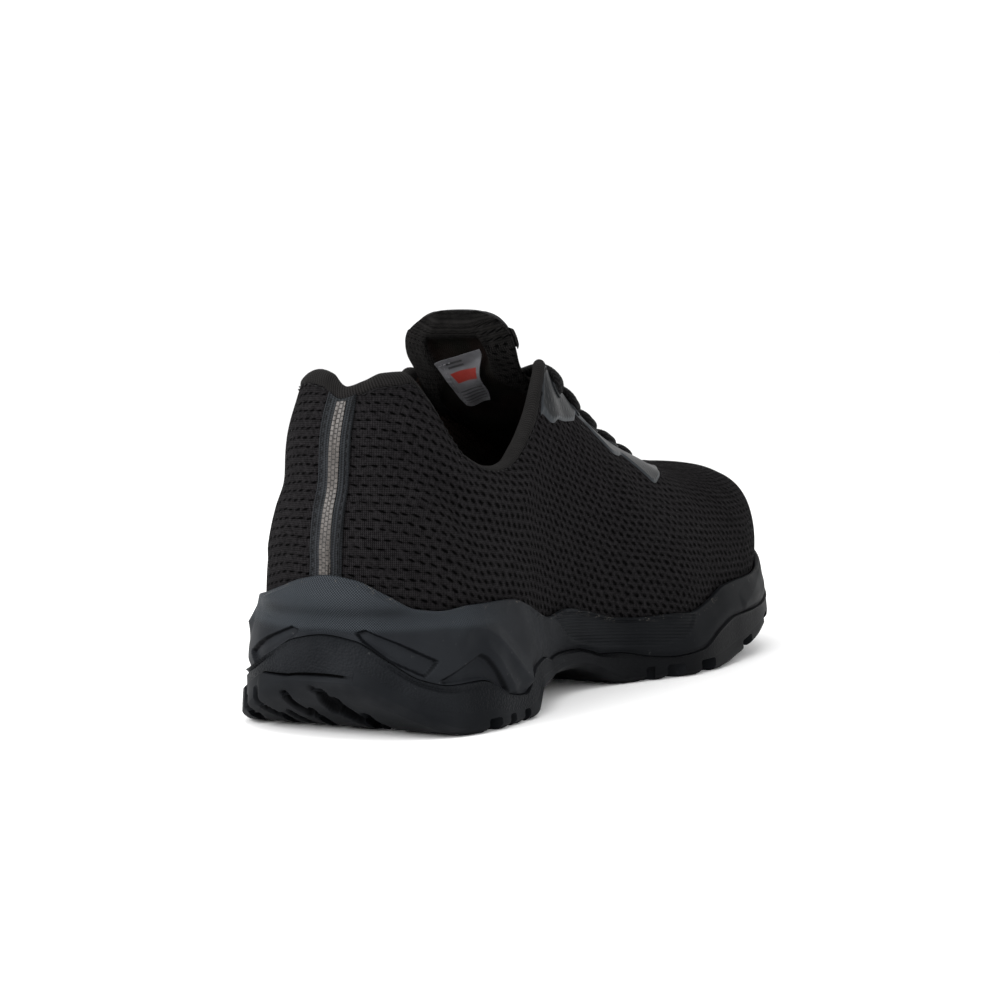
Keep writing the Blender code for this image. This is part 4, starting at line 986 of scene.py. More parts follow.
def inside(x, z, corners):
    """The signed distance to a polygon, in metres: below 0 inside it."""
    edge = from_line(x, z, corners + [corners[0]])
    count = np.zeros(np.broadcast(x, z).shape, int)
    points = np.array(corners, float) / 1000
    for (ax, az), (bx, bz) in zip(points, np.roll(points, -1, axis=0)):
        crosses = (az > z) != (bz > z)
        at = ax + (z - az) * (bx - ax) / np.where(bz == az, 1e-12, bz - az)
        count += crosses & (x < at)
    return np.where(count % 2 == 1, -edge, edge)


def field(x, z, corners, soft):
    """1 inside a polygon and 0 outside it, with an edge soft metres wide."""
    return 1 - smooth(-soft / 2, soft / 2, inside(x, z, corners))


def ridge(x, z, line, half, sharp=1.0):
    """A ridge along a line, half metres to each side: 1 on the line, falling to 0."""
    far = from_line(x, z, line)
    return np.clip(1 - far / half, 0, 1) ** sharp


# Both sides carry the same forms. s is the way from the heel's back and z the height, in mm.
CHEVRON = [(10.5, 30.8), (13.5, 31.6), (24.0, 27.9), (36.8, 22.3), (32.4, 18.2), (21.5, 22.8), (13.0, 28.4)]
MOUNTAIN = [(37.7, 16.6), (46.0, 19.8), (54.0, 22.9), (57.0, 21.6), (61.0, 18.0), (65.0, 13.6), (70.5, 8.0),
            (58.0, 8.0), (44.0, 12.0)]
CLAW = [(48.0, 30.0), (51.5, 31.0), (57.0, 30.2), (63.0, 27.2), (69.0, 22.8), (76.0, 16.6), (83.0, 12.2)]
SPUR = [(57.0, 25.2), (62.0, 21.4), (67.5, 15.6), (72.0, 11.0)]
RIBBED = [(112.0, 34.0), (124.0, 25.2), (133.0, 19.6), (142.0, 16.6), (153.0, 14.4), (168.0, 12.7),
          (184.0, 11.6), (195.0, 13.0), (203.0, 16.2), (209.0, 20.0), (216.0, 34.0)]
LEAF = [(118.0, 27.2), (132.0, 22.0), (150.0, 18.6), (172.0, 16.6), (190.0, 17.2), (204.0, 21.0)]
TOE_LINE = [(252.0, 20.0), (268.0, 24.0), (290.0, 30.0), (318.0, 36.0), (351.0, 38.5)]


def sculpture(station, z):
    """The midsole wall's relief in metres, outwards: panels sunk, ridges raised, and the heel's
    swell and hollow under its peak."""
    s = station * SIDE_WAY
    made = -0.0014 * field(s, z, CHEVRON, 0.0008)
    made += -0.0012 * field(s, z, MOUNTAIN, 0.0012)
    made += 0.0018 * ridge(s, z, CLAW, 0.0060, 1.4)
    made += 0.0010 * ridge(s, z, SPUR, 0.0042, 1.3)
    made += -0.0006 * field(s, z, RIBBED, 0.0012)
    made += 0.0006 * ridge(s, z, LEAF, 0.0050, 1.2) * smooth(0.113, 0.125, s)
    made += 0.0005 * ridge(s, z, TOE_LINE, 0.0045, 1.0)
    heel = 1 - smooth(0.020, 0.048, s)
    made += heel * (0.0020 * hump(z, 0.0405, 0.0044) - 0.0018 * hump(z, 0.0335, 0.0038))
    made += -0.0006 * hump(s, 0.098, 0.010) * smooth(0.012, 0.020, z)
    wrinkle = 0.00025 * np.sin(s * 900 + 2.0) * hump(s, 0.100, 0.008) * smooth(0.014, 0.022, z)
    return made + wrinkle


def sole_lines(station, side):
    """The heights and insets that outsole and midsole share, as in the CAD."""
    x, _ = plan(station, side)
    tread = tread_level(x)
    knots = SIDE["station"]
    bevel = HEEL_BEVEL * through(station, knots, SIDE["bevel"])
    wrap = side_level("wrap", station, side) * WRAP_HEIGHT
    wrap = np.maximum(wrap, tread + SOLE_PLATE + GAP)
    lean = LEAN * wrap * through(station, knots, SIDE["lean"])
    inset_x, _ = plan(station, side, -lean - RIM)
    floor = np.minimum(tread_level(inset_x) + SOLE_PLATE, wrap - GAP)
    return tread, bevel, wrap, floor, lean


def sole_ring(station, side, out, z):
    """A ring of the sole: its outline moved out by out, at the height z."""
    x, y = plan(station, side, out)
    return np.stack([x, y, np.broadcast_to(z, x.shape)], -1)


print("chart of the side:", round(SIDE_WAY * 1000), "mm long")

# %% [markdown]
# The foam's finish is a dark slate with a faint moulded texture: small diamonds over the heel
# and fine level ribs at the ball. The heel's diamond field is painted lighter, a painted
# highlight, and the wall is painted darker from 75 mm past the heel's back towards the toe, as
# painted shade. The relief's sunk edges are darkened as painted shade, a few pale dust specks lie
# over the foam, and dried cement shows as a few pale crumbs along the line where the knit meets
# the foam.

# %% Midsole


def foam_finish():
    made = Finish("midsole_foam", 0.50, specular=0.020)
    s, z = made.uv("side")
    diamond_and_highlight, ribs, edge, lip = (made.value(n) for n in ("diamond_and_highlight", "ribs", "edge", "lip"))
    a = ((s / 0.00092 + z / 0.00078).part() - 0.5).size()
    b = ((s / 0.00092 - z / 0.00078).part() - 0.5).size()
    gems = a.most(b).ramp(0.50, 0.34)
    level = ((z + s * 0.08) / 0.0011).part()
    lines = level.ramp(0.0, 0.45) * level.ramp(1.0, 0.55)
    cloud = made.noise(55.0, 3.0)
    fine = made.noise(1900.0, 2.0)
    specks = made.noise(700.0, 1.0).ramp(0.71, 0.76) * made.noise(60.0, 2.0).ramp(0.50, 0.64)
    base = made.colour(cloud.ramp(0.3, 0.7), (0.0082, 0.0090, 0.0106), (0.0128, 0.0140, 0.0160))
    # Darker from 75 mm past the heel's back towards the toe: painted shade.
    base = made.colour(s.ramp(0.075, 0.200, 0.0, 0.7), base, (0.0028, 0.0031, 0.0036))
    # The diamond field over the heel is painted lighter: a painted highlight on the heel's upper swell.
    base = made.colour(diamond_and_highlight * (gems * 0.75 + 0.15), base, (0.0350, 0.0400, 0.0460))
    # The relief's steep sunk edges are darkened: painted shade.
    wear_and_shade = made.colour(edge.ramp(0.0, 1.0, 0.0, 0.75), base, (0.0012, 0.0014, 0.0018))
    dusty = made.colour(specks * 0.22, wear_and_shade, (0.10, 0.10, 0.10))
    crumbs = made.cells(1500.0).ramp(0.42, 0.25) * made.noise(330.0, 2.0).ramp(0.54, 0.64) * lip
    made.paint(made.colour(crumbs * 0.55, dusty, (0.11, 0.10, 0.088)))
    made.rough(cloud * 0.10 + fine * 0.06 + crumbs * 0.3 + 0.40)
    made.relief(fine, 0.00003, 0.8)
    made.relief(gems * diamond_and_highlight * 2.0 + lines * ribs, 0.00026, 1.0)
    return made.made


foam = foam_finish()


def make_midsole_wall():
    station, side = around(430)
    _, _, wrap, floor, lean = sole_lines(station, side)
    top = side_level("top", station, side) * SIDEWALL_HEIGHT
    low_out = -lean - RIM - GAP
    v_top = v_at_height(station, side, top)
    flat = np.array([1.0, 1.0, 0.0])
    normal = unit(upper_normal(station, side, v_top) * flat)
    on_skin = upper_point(station, side, v_top)
    foot = sole_ring(station, side, -lean - 0.0006, wrap + GAP)
    head = on_skin + normal * (SKIN_GAP + LIP)
    head[:, 2] = top - 0.0004
    nx, ny = outward(station, side)
    way_out = np.stack([nx, ny, np.zeros_like(nx)], -1)
    shares = np.linspace(0, 1, 52)
    swell = 0.0012 * through(shares, (0, 0.14, 0.34, 0.55, 0.78, 1.0), (0, 0.5, 0.7, 0.5, 0.3, 0.0))
    height = foot[:, 2] + (head - foot)[:, 2] * shares[:, None]
    fade = smooth(0.0, 0.05, shares) * (1 - smooth(0.93, 1.0, shares))
    out = swell[:, None] + sculpture(station[None, :], height) * fade[:, None]
    wall = foot + (head - foot) * shares[:, None, None] + way_out * out[..., None]
    base = [sole_ring(station, side, low_out, floor + GAP), sole_ring(station, side, low_out, wrap + GAP)]
    lip = []
    for angle in (40, 90, 140):
        turned = on_skin + normal * (SKIN_GAP + LIP / 2 + LIP / 2 * math.cos(math.radians(angle)))
        turned[:, 2] = top - 0.0004 + 0.0006 * math.sin(math.radians(angle))
        lip.append(turned)
    inner = [upper_skin(station, side, v_top * share, np.full(len(v_top), SKIN_GAP))
             for share in np.linspace(0.97, 0.0, 12)]
    inner[-1][:, 2] -= GAP + GAP
    rings = np.concatenate([np.array(base), wall, np.array(lip), np.array(inner)])
    rows, columns = rings.shape[:2]
    middle = between_sides(inner[-1])
    low_middle = between_sides(base[0])
    rings = np.concatenate([low_middle[None], rings, middle[None]])
    faces = grid_faces(rows + 2, columns, closed_columns=True)
    s = np.broadcast_to(station * SIDE_WAY, rings.shape[:2])
    z = rings[..., 2]
    slope = np.gradient(sculpture(station[None, :], z), axis=0)
    # edge marks the relief's steep slopes, which the foam's finish darkens as painted shade.
    edge = smooth(0.00010, 0.00045, np.abs(slope))
    # The heel's diamond field, which the finish also paints lighter as a painted highlight.
    heel_diamonds_and_highlight = (1 - smooth(0.045, 0.080, s)) * smooth(0.0300, 0.0325, z)
    heel_diamonds_and_highlight = heel_diamonds_and_highlight * (1 - field(s, z, CHEVRON, 0.001))
    ribs = field(s, z, RIBBED, 0.004)
    near_top = smooth(0.0022, 0.0004, top[None, :] - z)
    return make_piece(
        "midsole_foam", rings, faces, foam,
        uvs={"side": np.stack([s, z], -1)},
        values={"diamond_and_highlight": heel_diamonds_and_highlight, "ribs": ribs, "edge": edge, "lip": near_top},
        replaces=("midsole",), sharp=35,
    )


def weld(piece, distance=1e-6):
    """Joins the points that lie on each other, and drops the faces that this leaves empty."""
    shape = bmesh.new()
    shape.from_mesh(piece.data)
    bmesh.ops.remove_doubles(shape, verts=shape.verts, dist=distance)
    bmesh.ops.dissolve_degenerate(shape, edges=shape.edges, dist=distance)
    shape.to_mesh(piece.data)
    shape.free()


midsole = make_midsole_wall()
weld(midsole)

# %% [markdown]
# The outsole is one black rubber shell: a cup with a pebbled side, a thin lip along its upper
# edge, a crash pad at the heel, and a tread of separate lugs. The lugs are made as a mould
# maker would: the shell first, then bars that are cut out of it.

# %% Outsole


def rubber_finish():
    made = Finish("outsole_rubber", 0.52, specular=0.020)
    grain, lug, cut = made.value("grain"), made.value("lug"), made.value("cut")
    pebbles = made.cells(1350.0, "SMOOTH_F1", smoothness=0.6)
    fine = made.noise(2600.0, 2.0)
    cloud = made.noise(48.0, 3.0)
    specks = made.noise(620.0, 1.0).ramp(0.72, 0.77) * made.noise(45.0, 2.0).ramp(0.52, 0.66)
    base = made.colour(cloud.ramp(0.3, 0.7), (0.0056, 0.0062, 0.0072), (0.0094, 0.0102, 0.0116))
    # Darker from 75 mm past the heel's back towards the toe: painted shade.
    base = made.colour(made.uv("side")[0].ramp(0.075, 0.200, 0.0, 0.7), base, (0.0028, 0.0029, 0.0032))
    wear_and_shade = made.colour(lug * cloud.ramp(0.35, 0.7) * 0.35, base, (0.018, 0.018, 0.019))
    # Darkened in the crash pad's grooves and in the slot under its step: painted shade.
    dark = made.colour(cut * 0.85, wear_and_shade, (0.0008, 0.0008, 0.0010))
    made.paint(made.colour(specks * 0.2, dark, (0.10, 0.10, 0.10)))
    made.rough(cloud * 0.12 + fine * 0.05 + lug * 0.08 + 0.40)
    made.relief(fine, 0.00003, 0.7)
    made.relief(pebbles * grain, 0.00030, 0.9)
    return made.made


rubber = rubber_finish()


def lip_form(station, share):
    """How far the outsole's side stands out, share going from its shoulder to its upper edge:
    a thin lip on top, and a light ledge that widens behind the ball and under the heel."""
    s = station * SIDE_WAY
    ledge = hump(s, 0.034, 0.016) + 0.7 * hump(s, 0.150, 0.020)
    return 0.00035 * hump(share, 0.97, 0.035) - 0.0010 * ledge * hump(share, 0.80, 0.09)


# The crash pad seen from behind: y towards the outer side and z the height, in mm.
PAD_EDGE = [(3.2, 14.6), (0.6, 12.6), (-1.6, 10.6), (-4.0, 9.0), (-6.4, 5.4), (-6.6, 2.0)]
PAD_GROOVES = (
    (0.0013, 0.0012, [(26.2, 11.6), (25.4, 8.2), (22.8, 5.4), (19.6, 2.6)]),
    (0.0017, 0.0016, [(13.6, 12.0), (13.1, 9.6), (11.6, 7.4), (10.0, 5.8)]),
    (0.0014, 0.0013, [(8.0, 6.6), (8.0, 4.2), (6.6, 1.8)]),
    (0.0013, 0.0012, [(16.4, 5.4), (15.4, 3.4), (13.4, 1.6)]),
    (0.0022, 0.0018, [(-2.6, 10.2), (-3.2, 6.8), (-5.4, 4.6)]),
    (0.0022, 0.0016, [(0.8, 13.0), (1.0, 10.4), (0.0, 8.2)]),
    (0.0018, 0.0018, [(-9.4, 5.6), (-9.6, 3.2), (-12.0, 1.4)]),
    (0.0016, 0.0014, [(34.0, 10.0), (33.0, 6.4), (30.0, 3.4)]),
)


def pad_form(points):
    """How far the heel's under-edge moves outwards at points: a thin groove along the crash
    pad's inner end, and curved grooves across the pad."""
    behind = 1 - smooth(-0.025, -0.012, points[:, 0])
    y, z = points[:, 1], points[:, 2]
    made = -0.0014 * ridge(y, z, PAD_EDGE, 0.0014, 0.7)
    for half, depth, line in PAD_GROOVES:
        made += -1.5 * depth * smooth(0.0, 0.5, ridge(y, z, line, half))
    return made * behind


def make_outsole_shell():
    station, side = around(340, 0.6)
    tread, bevel, wrap, floor, lean = sole_lines(station, side)
    step = side_level("pad", station, side) * PAD_STEP
    shoulder = tread + bevel
    rise = wrap - shoulder
    ledge = np.clip(shoulder + 0.10 * rise, HEEL_BEVEL * 1.16, shoulder + 0.55 * rise)
    ledge = np.where(step > 0, ledge, shoulder + 0.30 * rise)
    slot = np.minimum(0.0012, 0.08 * (wrap - ledge))
    deep = 0.0014 * smooth(0.0, 0.0005, step)
    count = len(station)
    edge = sole_ring(station, side, -np.maximum(EDGE_BEVEL, bevel), tread)
    edge[:, 2] = tread_level(edge[:, 0])
    middle = between_sides(edge)
    bottom = []
    for share in np.linspace(0, 1, 45)[:-1]:
        row = middle + (edge - middle) * share
        row[:, 2] = tread_level(row[:, 0])
        dent = pad_form(row)
        row[:, 0] -= dent * 0.6
        row[:, 2] -= dent * 0.8
        bottom.append(row)
    low = [edge]
    nx, ny = outward(station, side)
    for share in np.linspace(0.08, 0.92, 13):
        turned = edge + (sole_ring(station, side, 0.0, shoulder) - edge) * share
        bulge = 0.20 * math.sin(math.pi * share)
        swell = bulge * np.minimum(bevel, EDGE_BEVEL) + pad_form(turned)
        turned[:, 0] += nx * swell
        turned[:, 1] += ny * swell
        low.append(turned)
    side_rows = [
        (0.0, shoulder), (-lean * 0.10, shoulder + (ledge - shoulder) * 0.5),
        (-lean * 0.25, ledge - 0.0002), (-lean * 0.27 - step * 0.15, ledge),
        (-lean * 0.3 - step - deep, ledge + slot * 0.2), (-lean * 0.3 - step - deep, ledge + slot * 0.8),
        (-lean * 0.3 - step, ledge + slot),
    ]
    for share in np.linspace(0.05, 0.98, 19):
        z = ledge + slot + (wrap - ledge - slot) * share
        out = -lean * (0.3 + 0.7 * share) - step * (1 - share) + lip_form(station, share)
        side_rows.append((out, z))
    side_rows += [(-lean - 0.0003, wrap), (-lean - RIM + 0.0002, wrap), (-lean - RIM, wrap - 0.0004)]
    wall = [sole_ring(station, side, out, z) for out, z in side_rows]
    for row in wall[:2]:
        dent = pad_form(row)
        row[:, 0] += nx * dent
        row[:, 1] += ny * dent
    inside_wall = [sole_ring(station, side, -lean - RIM, wrap - 0.0004 + (floor - wrap + 0.0004) * share)
                   for share in (0.5, 1.0)]
    top_middle = between_sides(inside_wall[-1])
    points = np.array(bottom + low + wall + inside_wall + [top_middle])
    rows = len(points)
    s = np.broadcast_to(station * SIDE_WAY, points.shape[:2])
    row = np.arange(rows)[:, None]
    first = len(bottom) + len(low)
    on_side = smooth(first + 4, first + 8, row) * (1 - smooth(rows - 7, rows - 5, row))
    grain = on_side * (1 - 0.75 * smooth(0.070, 0.105, s))
    lug = (row < first).astype(float) * np.ones_like(s)
    # cut marks the crash pad's grooves and the slot under its step, which the finish darkens as painted
    # shade.
    cut = smooth(0.0002, 0.0016, -pad_form(points.reshape(-1, 3)).reshape(s.shape)) * (row < first + 3)
    cut = np.maximum(cut, (np.abs(row - first - 4.5) < 1) * (step > 0.0004))
    return make_piece(
        "outsole_rubber", points, grid_faces(rows, count, closed_columns=True), rubber,
        uvs={"side": np.stack([s, points[..., 2]], -1)}, values={"grain": grain, "lug": lug, "cut": cut},
        replaces=("outsole",), sharp=32,
    )


def groove_bar(along, across, turn, width, reach, depth=LUG_DEPTH):
    """One bar to cut: a box with rounded lower corners, laid along the tread's own slope."""
    half = float(local_width(along)) / 2
    middle = float(through(along, PLAN["along"], PLAN["swing"]))
    x = along * LENGTH - HEEL_SEAT
    rise = float(tread_level(x + 0.004) - tread_level(x - 0.004))
    pitch, yaw = -math.atan2(rise, 0.008), math.radians(turn)
    ahead = np.array([math.cos(pitch) * math.cos(yaw), math.cos(pitch) * math.sin(yaw), -math.sin(pitch)])
    aside = np.array([-math.sin(yaw), math.cos(yaw), 0.0])
    upward = np.cross(ahead, aside)
    centre = np.array([x, middle * BALL_WIDTH + half * across, float(tread_level(x))])
    w, d, r = width / 2, depth, min(0.0009, width * 0.3)
    profile = [(-w - 0.0004, -d), (-w, -0.2 * d), (-w, d - r), (-w + 0.3 * r, d - 0.3 * r), (-w + r, d),
               (w - r, d), (w - 0.3 * r, d - 0.3 * r), (w, d - r), (w, -0.2 * d), (w + 0.0004, -d)]
    ends = []
    for end in (-1, 1):
        ends.append([centre + ahead * a + upward * b + aside * end * half * reach / 2 for a, b in profile])
    points = np.concatenate(ends)
    count = len(profile)
    faces = [(i, (i + 1) % count, count + (i + 1) % count, count + i) for i in range(count)]
    faces += [tuple(range(count))[::-1], tuple(range(count, 2 * count))]
    mesh = bpy.data.meshes.new("groove_bar")
    mesh.from_pydata(points.tolist(), [], faces)
    face_outwards(mesh)
    return bpy.data.objects.new("groove_bar", mesh)


def cut_tread(shell, grooves):
    """Cuts every bar from the shell, keeps the result as the shell's own mesh, and drops the bars."""
    cutters = bpy.data.collections.new("groove_bars")
    bpy.context.scene.collection.children.link(cutters)
    for groove in grooves:
        cutters.objects.link(groove_bar(*groove))
    modifier = shell.modifiers.new("Tread", "BOOLEAN")
    modifier.operation = "DIFFERENCE"
    modifier.operand_type = "COLLECTION"
    modifier.collection = cutters
    modifier.solver = "EXACT"
    done = bpy.data.meshes.new_from_object(shell.evaluated_get(bpy.context.evaluated_depsgraph_get()))
    shell.modifiers.clear()
    shell.data = done
    for bar in list(cutters.objects):
        bpy.data.objects.remove(bar)
    bpy.data.collections.remove(cutters)
    done.set_sharp_from_angle(angle=math.radians(32))
    print("tread of", len(grooves), "grooves,", len(done.polygons), "faces")


outsole = make_outsole_shell()
weld(outsole)
cut_tread(outsole, [(along + 0.034, *rest) for along, *rest in GROOVES[:4]] + list(GROOVES[4:11])
          + [(*groove, LUG_DEPTH * 1.2) for groove in GROOVES[11:]])

# %% [markdown]
# Trims lie on the upper's face: a binding over the collar's edge, the film round the lace
# holes, and the woven strap down the heel. Each is a thin closed sheet, made from a grid on
# its outer face and one on its back, so that it has a real edge.

# %% Thin sheets


def closed_sheet(outer, inner):
    """Points and faces of a thin solid between two grids, closed round its rim."""
    rows, columns = outer.shape[:2]
    back = rows * columns
    front = grid_faces(rows, columns)
    rim = [c for c in range(columns)]
    rim += [r * columns + columns - 1 for r in range(1, rows)]
    rim += [(rows - 1) * columns + c for c in range(columns - 2, -1, -1)]
    rim += [r * columns for r in range(rows - 2, 0, -1)]
    rim = np.array(rim)
    after = np.roll(rim, -1)
    edge = np.stack([rim, back + rim, back + after, after], -1)
    points = np.concatenate([outer.reshape(-1, 3), inner.reshape(-1, 3)])
    return points, np.concatenate([front, front[:, ::-1] + back, edge])


def sheet_map(outer):
    """A sheet's flat map in metres: the way along its rows and the way down its columns."""
    return np.stack([way_along(outer, 1), way_along(outer, 0)], -1)


def doubled(values):
    """A map of the outer grid, given to the back grid too."""
    return np.concatenate([values, values])


THREAD_STEPS, THREAD_SIDES = 5, 6


def add_stitches(name, path, normals, pitch, length, thick, finish, lift=0.0001):
    """Short rounded threads along a path, each bulging out of the cloth: a tube with a radius
    of sin(pi t) to the power 0.4 along it."""
    way = way_along(path, 0)
    at = np.arange(pitch / 2, way[-1], pitch)
    t = np.linspace(-0.5, 0.5, THREAD_STEPS)
    place = at[:, None] + t[None, :] * length
    middle = np.stack([np.interp(place, way, path[:, i]) for i in range(3)], -1)
    out = unit(np.stack([np.interp(place, way, normals[:, i]) for i in range(3)], -1))
    ahead = unit(np.gradient(middle, axis=1))
    aside = unit(np.cross(ahead, out))
    round_ = np.cos(t * math.pi) ** 0.4
    turn = np.arange(THREAD_SIDES) * math.pi / 3
    radius = (thick / 2 * round_)[None, :, None, None]
    tube = middle[:, :, None, :] + radius * (
        np.cos(turn)[None, None, :, None] * aside[:, :, None, :]
        + np.sin(turn)[None, None, :, None] * out[:, :, None, :]
    ) + out[:, :, None, :] * (lift + thick * 0.2 * np.cos(t * math.pi))[None, :, None, None]
    count = len(at)
    each = THREAD_STEPS * THREAD_SIDES
    one = grid_faces(THREAD_STEPS, THREAD_SIDES, closed_columns=True)[:, ::-1]
    faces = (one[None] + np.arange(count)[:, None, None] * each).reshape(-1, 4)
    caps = [tuple(each * i + k for k in range(THREAD_SIDES)) for i in range(count)]
    caps += [tuple(each * i + each - 1 - k for k in range(THREAD_SIDES)) for i in range(count)]
    uv = np.broadcast_to(place[:, :, None, None], (count, THREAD_STEPS, THREAD_SIDES, 2))
    faces = [tuple(f) for f in faces.tolist()] + caps
    return make_piece(name, tube, faces, finish, uvs={"thread": uv})


def thread_finish(name, colour):
    made = Finish(name, 0.7, specular=0.10)
    u, _ = made.uv("thread")
    twist = (u * (2 * math.pi / 0.0006)).sin()
    dim = tuple(c * 0.6 for c in colour)
    made.paint(made.colour(twist.ramp(-1.0, 1.0), dim, colour))
    made.relief(twist, 0.00005, 0.6)
    return made.made


dark_thread = thread_finish("dark_thread", (0.0050, 0.0050, 0.0055))
print("stitches have", THREAD_STEPS * THREAD_SIDES, "points each")

# %% [markdown]
# The collar's binding is a soft knitted tape that is folded over the padded edge. It is narrow
# at the back and widens to a plain turned strip along the scoop, where a seam holds it down.

# %% Collar binding
BINDING_END = 0.418
BINDING_STATIONS = (0.0, 0.08, 0.13, 0.20, 0.27, 0.32, 0.36, 0.42)
BINDING_DOWN = (0.0008, 0.0006, -0.0012, -0.0024, -0.0024, -0.0006, 0.0024, 0.0032)


def ribbed_finish(name, light):
    """Dark tape with fine ribs across it."""
    made = Finish(name, 0.90, specular=0.045, sheen=0.01)
    u, v = made.uv("tape")
    ribs = ((u + v * 0.35) * (2 * math.pi / 0.00085)).sin()
    cross = (v * (2 * math.pi / 0.00060)).sin()
    yarn = ribs * 0.35 + cross * 0.15 + 0.5
    cloud = made.noise(300.0, 3.0)
    dark = tuple(c * 0.2 for c in light)
    made.paint(made.colour((yarn * 0.7 + cloud * 0.5).ramp(0.2, 1.0), dark, light))
    made.relief(yarn, 0.00018, 0.9)
    return made.made


binding_knit = ribbed_finish("binding_knit", (0.0112, 0.0105, 0.0103))


def round_collar(per_side, end):
    """Stations and sides from the inner front corner round the heel to the outer one."""
    one = np.linspace(0, end, per_side)
    side = np.concatenate([np.full(per_side, INNER), np.full(per_side - 1, OUTER)])
    return np.concatenate([one[::-1], one[1:]]), side


def collar_face(station, side, down, out):
    """The collar's face off by out: down is the way below the rim on the outer face, and below
    0 it is the way up over the rim."""
    wall = knit_face(station, side, v_back(station, side, np.maximum(down, 0.0)), out)
    half = wall_thickness(station, np.ones_like(station)) / 2
    rim = rim_ring(station, side, np.degrees(np.maximum(-down, 0.0) / half), out)
    return np.where((down > 0)[:, None], wall, rim)


def make_binding():
    station, side = round_collar(170, BINDING_END)
    station, side = station[::-1], side[::-1]
    start = through(station, BINDING_STATIONS, BINDING_DOWN)
    over = math.pi * wall_thickness(station, np.ones_like(station)) / 2
    outer, inner = [], []
    for share in np.linspace(0, 1, 20) ** 1.3:
        down = start + (-over - start) * share
        roll = 0.0001 + 0.00055 * np.sqrt(smooth(0.0, 0.0014, start - down))
        outer.append(collar_face(station, side, down, roll))
        inner.append(collar_face(station, side, down, np.full(len(station), -0.00015)))
    for share in np.linspace(0.0, 1.0, 6)[1:]:
        v = v_back(station, side, 0.0055 * share * np.ones_like(station))
        wall = wall_thickness(station, v)
        roll = 0.00065 * (1 - share**4)
        outer.append(upper_skin(station, side, v, -wall - roll - 0.0001))
        inner.append(upper_skin(station, side, v, -wall + 0.0003))
    outer, inner = np.array(outer), np.array(inner)
    points, faces = closed_sheet(outer, inner)
    along = way_along(outer, 1)[6][None, :] * np.ones((len(outer), 1))
    uv = np.stack([along, way_along(outer, 0)], -1)
    make_piece("collar_binding", points, faces[:, ::-1], binding_knit,
               uvs={"tape": doubled(uv)})
    seam = collar_face(station, side, start + 0.0005, np.full(len(station), 0.0001))
    beyond = collar_face(station, side, start + 0.0005, np.full(len(station), 0.0011))
    return seam, unit(beyond - seam)


seam_path, seam_out = make_binding()
add_stitches("collar_stitches", seam_path, seam_out, 0.0030, 0.0019, 0.00045, dark_thread)

# %% [markdown]
# The film is a smooth grey sheet that is welded over the knit round the lace holes, with a
# scalloped lower border. Its edge is pressed thin and is painted lighter along it, a painted
# highlight, and the knit's rows show through it very faintly.

# %% Film round the lace holes


def film_finish():
    made = Finish("eyestay_film", 0.38, specular=0.06)
    edge = made.value("edge")
    u, v = made.uv("film")
    under = holes(u, v, (0.0024, 0.0029), (0.0006, 0.0008))
    cloud = made.noise(70.0, 2.0)
    fine = made.noise(1500.0, 2.0)
    base = made.colour(cloud.ramp(0.35, 0.65), (0.0042, 0.0050, 0.0058), (0.0066, 0.0076, 0.0086))
    # The film's thin edge is painted lighter: a painted highlight.
    made.paint(made.colour(edge.ramp(0.1, 0.9, 0.0, 0.8), base, (0.034, 0.038, 0.042)))
    made.rough(cloud * 0.15 + fine * 0.08 + 0.28)
    made.relief(fine, 0.00003, 0.5)
    made.relief(under, 0.00010, 0.5)
    return made.made


film_skin = film_finish()
FILM_TOP = 0.990


def make_film():
    first = SCALLOP["station"][0]
    one = np.concatenate([np.linspace(first, 0.75, 130), np.linspace(0.75, 1.0, 34)[1:]])
    station = np.concatenate([one, one[-2::-1]])
    side = np.concatenate([np.full(len(one), INNER), np.full(len(one) - 1, OUTER)])
    reach = through(station, SCALLOP["station"], SCALLOP["reach"]) * THROAT_WIDTH
    corner = 1 - (1 - smooth(first, first + 0.024, station)) * 0.55
    reach = reach * corner
    slant = 1.25 * FILM_SLANT * (1 - through(station, (first, first + 2 * FILM_SLANT), (0.0, 1.0)))
    shares = np.concatenate([[0.0, 0.012, 0.03, 0.06], np.linspace(0.1, 0.94, 18), [0.97, 0.99, 1.0]])
    outer, inner, edge_highlight = [], [], []
    end_way = np.minimum(np.arange(len(station)), np.arange(len(station))[::-1]) * 0.0009
    for share in shares:
        moved = station - slant * (1 - share)
        low = v_back(moved, side, reach)
        v = low + (FILM_TOP - low) * share
        near = np.minimum(np.minimum(share * reach, (1 - share) * reach + 0.0004), end_way)
        thin = np.sqrt(smooth(0.0, 0.0011, near))
        bead = 0.00012 * hump(near, 0.0010, 0.0006)
        outer.append(knit_face(moved, side, v, 0.00008 + 0.00050 * thin + bead))
        inner.append(knit_face(moved, side, v, -0.00020))
        edge_highlight.append(1 - smooth(0.0004, 0.0016, near))
    outer, inner = np.array(outer), np.array(inner)
    points, faces = closed_sheet(outer, inner)
    uv = sheet_map(outer)
    make_piece("eyestay_film", points, faces, film_skin,
               uvs={"film": doubled(uv)}, values={"edge": doubled(np.array(edge_highlight))},
               replaces=("eyestay",))


make_film()

# %% [markdown]
# The strap down the heel is dark ribbed webbing with a reflective stripe woven along its
# middle. The stripe is a brick bond of flat pale bands, and the webbing's edges are bound by a
# thin cord and small stitches.

# %% Heel strap


